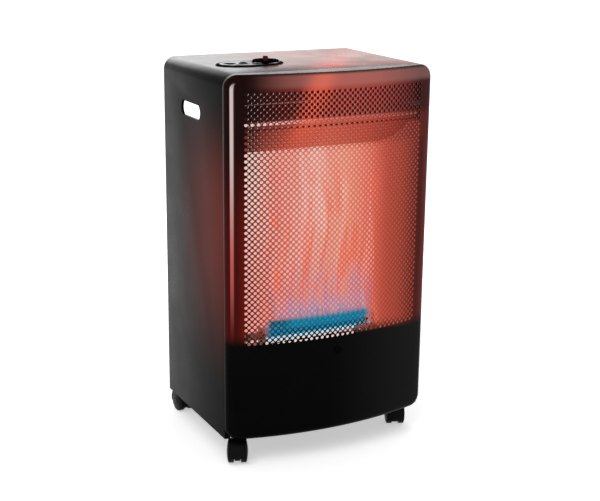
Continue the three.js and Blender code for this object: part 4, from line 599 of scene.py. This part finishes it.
def front_sheet():
    """The bowed front: 2,881 round holes, an apron, rounded edges and a return."""
    h = PITCH / 2
    points, index, faces = [], {}, []

    def vertex(x, z, drop=0.0, y=None):
        key = (round(x, 3), round(z, 3), round(drop, 3), y)
        if key not in index:
            index[key] = len(points)
            points.append((x, bow_y(x) + drop if y is None else y, z))
        return index[key]

    def lattice(m, n):
        return vertex(m * h, FIELD_FOOT + n * h)

    corners = ((1, 0), (0, 1), (-1, 0), (0, -1))
    ring = [math.radians(a) for a in range(0, 360, 30)]
    for m in range(-COLUMNS, COLUMNS + 1):
        for n in range(0, ROWS + 1):
            if (m + n) % 2:
                continue
            rim = []
            for (a, b), (c, d) in zip(corners, corners[1:] + corners[:1]):
                rim += [lattice(m + a, n + b), lattice(m + a + (c - a) / 3, n + b + (d - b) / 3),
                        lattice(m + a + 2 * (c - a) / 3, n + b + 2 * (d - b) / 3)]
            x, z = m * h, FIELD_FOOT + n * h
            hole = [vertex(x + HOLE_R * math.cos(a), z + HOLE_R * math.sin(a)) for a in ring]
            for i in range(12):
                j = (i + 1) % 12
                faces.append((rim[i], rim[j], hole[j], hole[i]))

    def run(a, b):
        """Lattice points from one to another, thirds included."""
        return [lattice(a[0] + (b[0] - a[0]) * t / 3, a[1] + (b[1] - a[1]) * t / 3)
                for t in range(3)]

    reach, head = COLUMNS + 1, ROWS + 1
    for m in range(-reach, reach, 2):
        faces.append(tuple([lattice(m, -1), lattice(m + 2, -1)] + run((m + 2, -1), (m + 1, 0))[1:]
                           + run((m + 1, 0), (m, -1))))
    for m in range(-COLUMNS, COLUMNS, 2):
        faces.append(tuple([lattice(m, head), lattice(m + 2, head)]
                           + run((m + 2, head), (m + 1, head - 1))[1:]
                           + run((m + 1, head - 1), (m, head))))
    for side in (-1, 1):
        for n in range(-1, ROWS, 2):
            faces.append(tuple([lattice(side * reach, n), lattice(side * reach, n + 2)]
                               + run((side * reach, n + 2), (side * COLUMNS, n + 1))[1:]
                               + run((side * COLUMNS, n + 1), (side * reach, n))))
        faces.append(tuple(run((side * COLUMNS, head), (side * reach, head - 1))
                           + [lattice(side * reach, head - 1), lattice(side * reach, head)]))

    core = HALF - BEND_R
    foot, crown = FLOOR + BEND_R, TOP - BEND_R
    low, high = FIELD_FOOT - h, FIELD_FOOT + head * h
    below = [-core] + [m * h for m in range(-reach, reach + 1, 2)] + [core]
    above = [m * h for m in range(-COLUMNS, COLUMNS + 1, 2)]
    above = [-core, -reach * h] + above + [reach * h, core]
    beside = [low] + [FIELD_FOOT + n * h for n in range(1, ROWS + 1, 2)] + [high]
    for a, b in zip(below, below[1:]):
        faces.append((vertex(a, foot), vertex(b, foot), vertex(b, low), vertex(a, low)))
    for a, b in zip(above, above[1:]):
        faces.append((vertex(a, high), vertex(b, high), vertex(b, crown), vertex(a, crown)))
    for side in (-1, 1):
        for a, b in zip(beside, beside[1:]):
            faces.append((vertex(side * reach * h, a), vertex(side * core, a),
                          vertex(side * core, b), vertex(side * reach * h, b)))

    loop = []                                        # (base x, base z, outward direction)
    fan = [math.radians(a) for a in range(0, 91, 9)]
    tall = [foot] + beside + [crown]

    def corner(x, z, start):
        loop.extend((x, z, math.cos(start + a), math.sin(start + a)) for a in fan)

    corner(-core, foot, math.pi)
    loop.extend((x, foot, 0.0, -1.0) for x in below[1:-1])
    corner(core, foot, 1.5 * math.pi)
    loop.extend((core, z, 1.0, 0.0) for z in tall[1:-1])
    corner(core, crown, 0.0)
    loop.extend((x, crown, 0.0, 1.0) for x in reversed(above[1:-1]))
    corner(-core, crown, 0.5 * math.pi)
    loop.extend((-core, z, -1.0, 0.0) for z in reversed(tall[1:-1]))
    # A profile across the edge: how far out, how far back; the last two end at the seam.
    profile = [(0.0, 0.0)]
    for a in range(0, 91, 15):
        s = math.radians(a)
        profile.append((BEND_R - EDGE_R + EDGE_R * math.sin(s), EDGE_R * (1 - math.cos(s))))
    rings = [[vertex(x + dx * out, z + dz * out, back) for x, z, dx, dz in loop]
             for out, back in profile]
    rings.append([vertex(x + dx * BEND_R, z + dz * BEND_R, y=SEAM) for x, z, dx, dz in loop])
    count = len(loop)
    for inner, outer in zip(rings, rings[1:]):
        for i in range(count):
            quad = [inner[i], inner[(i + 1) % count], outer[(i + 1) % count], outer[i]]
            face = tuple(dict.fromkeys(quad))
            if len(face) > 2:
                faces.append(face)
    obj = piece("front_sheet", points, faces, "black_enamel", nodes=("front_panel",),
                material="front_paint")
    outward = obj.data.polygons[len(obj.data.polygons) // 2].normal.y
    return applied(obj, ("SOLIDIFY", dict(thickness=SHEET * MM, offset=-1.0 if outward < 0 else 1.0,
                                          use_even_offset=True)))


# ---------------------------------------------------------------- cabinet shell

def arch(inset):
    """Outline of the side, top and side in (x, z), moved inward."""
    steps = 16
    r, reach, crown = BEND_R - inset, HALF - BEND_R, TOP - BEND_R
    run = [(-HALF + inset, FLOOR)]
    for k in range(steps + 1):
        a = math.pi - k * math.pi / 2 / steps
        run.append((-reach + r * math.cos(a), crown + r * math.sin(a)))
    for k in range(steps + 1):
        a = math.pi / 2 - k * math.pi / 2 / steps
        run.append((reach + r * math.cos(a), crown + r * math.sin(a)))
    return run + [(HALF - inset, FLOOR)]


def slot_outline():
    """Hand slot in (y, z): level long sides between bowed ends."""
    steps = 8
    reach = SLOT_LENGTH / 2 - SLOT_END_R
    limit = math.asin(SLOT_HEIGHT / 2 / SLOT_END_R)
    right = [(reach + SLOT_END_R * math.cos(a), SLOT_END_R * math.sin(a))
             for a in (limit * (2 * k / steps - 1) for k in range(steps + 1))]
    return [(SLOT_AT[0] + y, SLOT_AT[1] + z) for y, z in right + [(-y, -z) for y, z in right]]


def cutter(outline, axis, low, high):
    """A closed prism on an outline, for cutting; removed after use."""
    count = len(outline)
    points = []
    for level in (low, high):
        for a, b in outline:
            points.append({"x": (level, a, b), "z": (a, b, level)}[axis])
    faces = [tuple(range(count)), tuple(range(count, 2 * count))]
    faces += [(i, (i + 1) % count, count + (i + 1) % count, count + i) for i in range(count)]
    mesh = bpy.data.meshes.new("cutter")
    mesh.from_pydata([Vector(p) * MM for p in points], [], faces)
    work = bmesh.new()
    work.from_mesh(mesh)
    bmesh.ops.recalc_face_normals(work, faces=work.faces)
    work.to_mesh(mesh)
    work.free()
    obj = bpy.data.objects.new("cutter", mesh)
    bpy.context.scene.collection.objects.link(obj)
    return obj


def shell():
    """Sides and top bent from one sheet, hemmed inward at the front and the back."""
    turns = [math.radians(a) for a in (0, 30, 60, 90)]
    profile = [(FRONT_HEM, SIDE_FRONT)]
    profile += [(HEM_BEND * (1 - math.sin(a)), SIDE_FRONT + HEM_BEND * (1 - math.cos(a)))
                for a in turns]
    profile += [(HEM_BEND * (1 - math.cos(a)), SIDE_BACK - HEM_BEND * (1 - math.sin(a)))
                for a in turns]
    profile.append((BACK_HEM, SIDE_BACK))
    points, faces = [], []
    for inset, y in profile:
        points += [(x, y, z) for x, z in arch(inset)]
    count = len(arch(0.0))
    for k in range(len(profile) - 1):
        for i in range(count - 1):
            a = k * count + i
            faces.append((a, a + 1, a + count + 1, a + count))
    obj = piece("shell_sheet", points, faces, "black_enamel", nodes=("cabinet_shell",),
                material="shell_paint")
    outward = sum(f.normal.z for f in obj.data.polygons if abs(f.normal.z) > 0.9) > 0
    applied(obj, ("SOLIDIFY", dict(thickness=SHEET * MM, offset=-1.0 if outward else 1.0,
                                   use_even_offset=True)))
    oval = [(BEZEL_AT[0] + CUT_OUT_HALF[0] * math.cos(a),
             BEZEL_AT[1] + CUT_OUT_HALF[1] * math.sin(a))
            for a in (2 * math.pi * k / 48 for k in range(48))]
    tools = [cutter(slot_outline(), "x", -230, 230), cutter(oval, "z", 700, 760)]
    for tool in tools:
        applied(obj, ("BOOLEAN", dict(operation="DIFFERENCE", object=tool, solver="EXACT")))
        bpy.data.objects.remove(tool)
    smooth(obj.data, 30)
    return obj


# ---------------------------------------------------------------- casters

def caster(label, x, y, heading):
    """Twin-wheel swivel caster: two dished wheels under a hooded housing."""
    a = math.radians(heading)
    along, across = Vector((math.cos(a), math.sin(a), 0)), Vector((-math.sin(a), math.cos(a), 0))
    hub = Vector((x, y, AXLE_Z)) + along * TRAIL
    tread = [(2.9, 6.6), (20.6, 6.6), (21.4, 7.0), (21.73, 7.9), (21.73, 15.6), (21.3, 16.9),
             (20.0, 18.0), (17.6, 18.7), (17.0, 18.2), (16.2, 18.2), (15.6, 18.9), (9.0, 20.0),
             (8.2, 19.4), (7.2, 19.4), (6.4, 20.3), (3.2, 20.5), (0.2, 20.5)]
    for name, sign in (("a", 1), ("b", -1)):
        points, faces = revolve(tread, hub, across * sign, 48)
        piece(f"wheel_{label}_{name}", points, faces, "gloss_black_plastic",
              f"wheel_{label}_{name}", (f"caster_wheel_{label}_{name}",), angle=28)
    core = [(3.3, -5.6), (18.2, -5.6), (18.8, -5.0), (18.8, 5.0), (18.2, 5.6), (3.3, 5.6)]
    points, faces = revolve(core, hub, across, 40)
    piece(f"caster_core_{label}", points, faces, "matt_black_plastic", f"swivel_{label}", angle=28)
    refined(f"caster_housing_{label}", 0.7, 2, 40)


# ---------------------------------------------------------------- flames

def flame_material(name, stops, low, high, streak, thick):
    """A thin glowing veil: clear where its streaks fade, coloured by height."""
    n = Nodes(name)
    x, _, z = n.axes()
    color = n.ramp(n.span(z, low, high, smooth=False), stops)
    veil = n.span(wisps(n, x, z, streak, (0.0, 0.0)), 0.46, 0.64)
    fade = n.times(n.span(z, high, high - (high - low) * 0.5), veil)
    return n.surface(base_color=BLACK, roughness=1.0, specular_ior_level=0.0,
                     emission_color=color, emission_strength=1.0, alpha=n.times(fade, thick))


MATERIALS["flame"] = flame_material("flame", [
    (0.0, (0.01, 0.26, 0.48)), (0.10, (0.02, 0.26, 0.48)), (0.17, (0.40, 0.32, 0.55)),
    (0.28, (1.0, 0.50, 0.45)), (1.0, (1.0, 0.70, 0.60))], 0.244, 0.60, 30, 0.40)
MATERIALS["blue_flame"] = flame_material("blue_flame", [
    (0.0, (0.01, 0.27, 0.48)), (0.55, (0.02, 0.26, 0.50)), (0.8, (0.20, 0.28, 0.56)),
    (1.0, (0.60, 0.30, 0.45))], 0.240, 0.300, 300, 0.75)


def flame_curtain():
    """Wavering sheet of flame over the burner's ports."""
    points, faces = [], []
    across, up = 80, 40
    for j in range(up + 1):
        t = j / up
        z = BURNER_TOP + 2 + t * 330
        for i in range(across + 1):
            s = i / across
            x = -112 + 238 * s + 5 * t * math.sin(9 * t + 11 * s)
            y = BURNER_Y + (3 + 6 * t) * math.sin(17 * s + 5 * t)
            points.append((x, y, z))
    for j in range(up):
        for i in range(across):
            a = j * (across + 1) + i
            faces.append((a, a + 1, a + across + 2, a + across + 1))
    return piece("flame_curtain", points, faces, "bright_reflector", material="flame", angle=180)


def port_flames():
    """Pointed blue flames along the burner, one over each port, no two of one height."""
    points, faces = [], []
    for k in range(30):
        x = -108 + k * 7.9
        tall = 26 + 8 * math.sin(2.3 * k) + 5 * math.sin(5.1 * k + 1)
        outline = [(2.4, 0.6), (3.5, tall * 0.18), (3.2, tall * 0.42), (1.8, tall * 0.72),
                   (0.2, tall)]
        foot = (x, BURNER_Y - 6 + 2 * math.sin(3.7 * k), BURNER_TOP)
        cone, sides = revolve(outline, foot, steps=12)
        base = len(points)
        points += cone
        faces += [tuple(base + i for i in face) for face in sides]
    return piece("port_flames", points, faces, "bright_reflector", material="blue_flame", angle=180)


# ---------------------------------------------------------------- scene

def backdrop_light(tree, low, high):
    """The low strength for light, the high one for what is seen directly or in a mirror."""
    path = tree.nodes.new("ShaderNodeLightPath").outputs
    seen = path["Is Camera Ray"]
    for name in ("Is Glossy Ray", "Is Transmission Ray"):
        either = tree.nodes.new("ShaderNodeMath")
        either.operation = "MAXIMUM"
        tree.links.new(seen, either.inputs[0])
        tree.links.new(path[name], either.inputs[1])
        seen = either.outputs[0]
    strength = tree.nodes.new("ShaderNodeMapRange")
    strength.inputs["To Min"].default_value = low
    for socket, value in (("Value", seen), ("To Max", high)):
        if isinstance(value, bpy.types.NodeSocket):
            tree.links.new(value, strength.inputs[socket])
        else:
            strength.inputs[socket].default_value = value
    return strength.outputs["Result"]


def studio():
    """White floor and surroundings, soft light from above and the left, and the camera."""
    n = Nodes("studio_floor")
    x, y, _ = n.axes()
    off = n.math("SQRT", n.math("ADD", n.times(x, x), n.times(y, y)))
    white = n.span(off, 0.55, 1.10, 0.50, 1.0)
    n.surface(base_color=(0.80, 0.80, 0.80), roughness=0.9, specular_ior_level=0.0,
              emission_color=(1.0, 1.0, 1.0), emission_strength=backdrop_light(n.tree, 0.0, white))
    mesh = bpy.data.meshes.new("studio_floor")
    size = 14.0
    mesh.from_pydata([(-size, -size, 0), (size, -size, 0), (size, size, 0), (-size, size, 0)],
                     [], [(0, 1, 2, 3)])
    floor = bpy.data.objects.new("studio_floor", mesh)
    bpy.context.scene.collection.objects.link(floor)
    mesh.materials.append(n.material)

    world = bpy.data.worlds.new("studio")
    world.use_nodes = True
    tree = world.node_tree
    tree.nodes.clear()
    background = tree.nodes.new("ShaderNodeBackground")
    background.inputs["Color"].default_value = (1, 1, 1, 1)
    tree.links.new(backdrop_light(tree, 0.45, 1.0), background.inputs["Strength"])
    output = tree.nodes.new("ShaderNodeOutputWorld")
    tree.links.new(background.outputs[0], output.inputs["Surface"])
    bpy.context.scene.world = world

    def lamp(name, at, target, size_x, size_y, power, sheen):
        data = bpy.data.lights.new(name, "AREA")
        data.shape, data.size, data.size_y, data.energy = "RECTANGLE", size_x, size_y, power
        obj = bpy.data.objects.new(name, data)
        obj.location = at
        obj.rotation_euler = (Vector(target) - Vector(at)).to_track_quat("-Z", "Y").to_euler()
        obj.visible_camera, obj.visible_diffuse, obj.visible_glossy = False, not sheen, sheen
        bpy.context.scene.collection.objects.link(obj)

    lamp("key", (-1.6, -1.4, 2.6), (0, 0, 0.3), 1.8, 1.8, 40, False)
    lamp("overhead", (0.6, 0.8, 3.0), (0, 0, 0.4), 2.4, 2.4, 40, False)
    lamp("behind", (1.5, 2.4, 1.25), (0, 0, 0.74), 3.0, 0.7, 13, True)
    lamp("bend", (0.22, 2.46, 1.80), (-0.2, 0, 0.74), 1.6, 1.3, 30, True)

    azimuth, elevation, roll = (math.radians(a) for a in (AZIMUTH, ELEVATION, ROLL))
    level = math.cos(elevation)
    back = Vector((math.sin(azimuth) * level, -math.cos(azimuth) * level, math.sin(elevation)))
    right = (-back).cross(Vector((0, 0, 1))).normalized()
    up = right.cross(-back)
    axis_x = right * math.cos(roll) + up * math.sin(roll)
    axis_y = up * math.cos(roll) - right * math.sin(roll)
    camera = bpy.data.objects.new("camera", bpy.data.cameras.new("camera"))
    camera.data.lens, camera.data.sensor_width, camera.data.sensor_fit = LENS, SENSOR, "HORIZONTAL"
    camera.data.clip_end = 100.0
    turn = Matrix((axis_x, axis_y, back)).transposed().to_4x4()
    camera.matrix_world = Matrix.Translation(Vector(EYE)) @ turn
    bpy.context.scene.collection.objects.link(camera)
    bpy.context.scene.camera = camera


studio()
bpy.context.scene.view_settings.view_transform = "Standard"
front_sheet()
shell()
for label, (x, y, heading) in CASTERS.items():
    caster(label, x, y, heading)
flame_curtain()
port_flames()
LOOKS = {"hood_deflector": "hood_metal", "top_heat_shield": "shield_metal", "burner": "burner_flame_light",
         "firebox_floor": "hearth_metal", "sight_port_plug": "dull_black_plastic",
         "igniter_button": "dull_black_plastic", "control_bezel": "bezel_plastic"}
for node in frame["nodes"]:
    if frame["nodes"][node].hide_render:
        continue
    refined(node, 0.5 if node in ("rear_cover", "base_tray") else 0.35, material=LOOKS.get(node))
